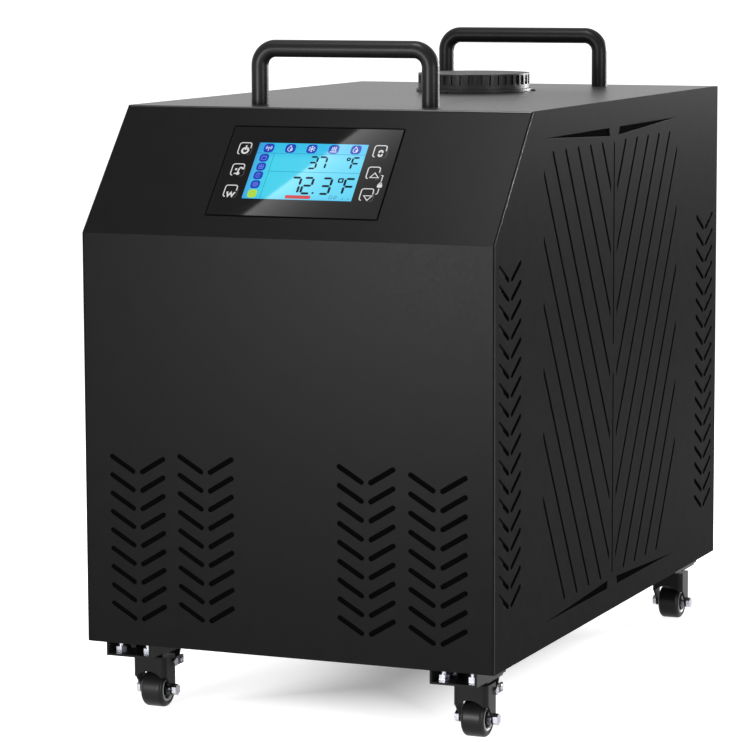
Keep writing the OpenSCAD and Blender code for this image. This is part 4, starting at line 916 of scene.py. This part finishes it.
# Floor: a painted shadow, where the glow is dimmer, lies within this half width and half length over the object's
# real shadow, and fades over an edge
SHADOW_HALF = (0.15, 0.27)
SHADOW_EDGE = 0.16
FLOOR_HALF = 40
FLOOR_PALE = 0.8
FLOOR_ROUGH = 0.95
SHADOW_GLOW = 0.15
OPEN_GLOW = 0.85


def background_rays(tree):
    """One for camera, glossy and transmission rays, which see the plain background."""
    path = tree.nodes.new("ShaderNodeLightPath")
    total = path.outputs["Is Camera Ray"]
    for kind in ("Is Glossy Ray", "Is Transmission Ray"):
        both = tree.nodes.new("ShaderNodeMath")
        both.operation = "MAXIMUM"
        tree.links.new(total, both.inputs[0])
        tree.links.new(path.outputs[kind], both.inputs[1])
        total = both.outputs[0]
    return total


def floor_look():
    """Pale floor that keeps the object's shadow, adds a painted shadow of dimmer glow under the object, and turns
    white away from it.
    """
    mat = material("floor", (FLOOR_PALE, FLOOR_PALE, FLOOR_PALE, 1), FLOOR_ROUGH, specular=0.0)
    tree = mat.node_tree
    place = node(mat, "ShaderNodeTexCoord")
    folded = node(mat, "ShaderNodeVectorMath", operation="ABSOLUTE")
    beyond = node(mat, "ShaderNodeVectorMath", operation="SUBTRACT")
    beyond.inputs[1].default_value = (*SHADOW_HALF, 0)
    split = node(mat, "ShaderNodeSeparateXYZ")
    away = node(mat, "ShaderNodeMath", operation="MAXIMUM")
    link(mat, place.outputs["Object"], folded.inputs[0])
    link(mat, folded.outputs["Vector"], beyond.inputs[0])
    link(mat, beyond.outputs["Vector"], split.inputs["Vector"])
    link(mat, split.outputs["X"], away.inputs[0])
    link(mat, split.outputs["Y"], away.inputs[1])
    ramp = node(mat, "ShaderNodeMapRange", interpolation_type="SMOOTHSTEP")
    span = (("From Min", -SHADOW_EDGE), ("From Max", 0.0), ("To Min", SHADOW_GLOW), ("To Max", OPEN_GLOW))
    for key, value in span:
        ramp.inputs[key].default_value = value
    link(mat, away.outputs["Value"], ramp.inputs["Value"])
    shown = node(mat, "ShaderNodeMath", operation="MULTIPLY")
    link(mat, ramp.outputs["Result"], shown.inputs[0])
    link(mat, background_rays(tree), shown.inputs[1])
    shader_of(mat).inputs["Emission Color"].default_value = (1, 1, 1, 1)
    link(mat, shown.outputs[0], shader_of(mat).inputs["Emission Strength"])
    return mat


def build_floor():
    bm = bmesh.new()
    corners = ((-1, -1), (1, -1), (1, 1), (-1, 1))
    bm.faces.new([bm.verts.new((x * FLOOR_HALF, y * FLOOR_HALF, 0)) for x, y in corners])
    mesh = bpy.data.meshes.new("floor")
    bm.to_mesh(mesh)
    bm.free()
    mesh.materials.append(floor_look())
    made = bpy.data.objects.new("floor", mesh)
    bpy.context.scene.collection.objects.link(made)


WORLD_SEEN = 1.0
WORLD_LIGHT = 0.45


def build_world():
    world = bpy.data.worlds.new("studio")
    bpy.context.scene.world = world
    world.use_nodes = True
    tree = world.node_tree
    tree.nodes.clear()
    sky = tree.nodes.new("ShaderNodeBackground")
    sky.inputs["Color"].default_value = (1, 1, 1, 1)
    level = tree.nodes.new("ShaderNodeMapRange")
    level.inputs["To Min"].default_value = WORLD_LIGHT
    level.inputs["To Max"].default_value = WORLD_SEEN
    out = tree.nodes.new("ShaderNodeOutputWorld")
    tree.links.new(background_rays(tree), level.inputs["Value"])
    tree.links.new(level.outputs["Result"], sky.inputs["Strength"])
    tree.links.new(sky.outputs[0], out.inputs["Surface"])


build_camera()
build_floor()
build_world()
build_lights()
bpy.context.scene.view_settings.view_transform = "Standard"
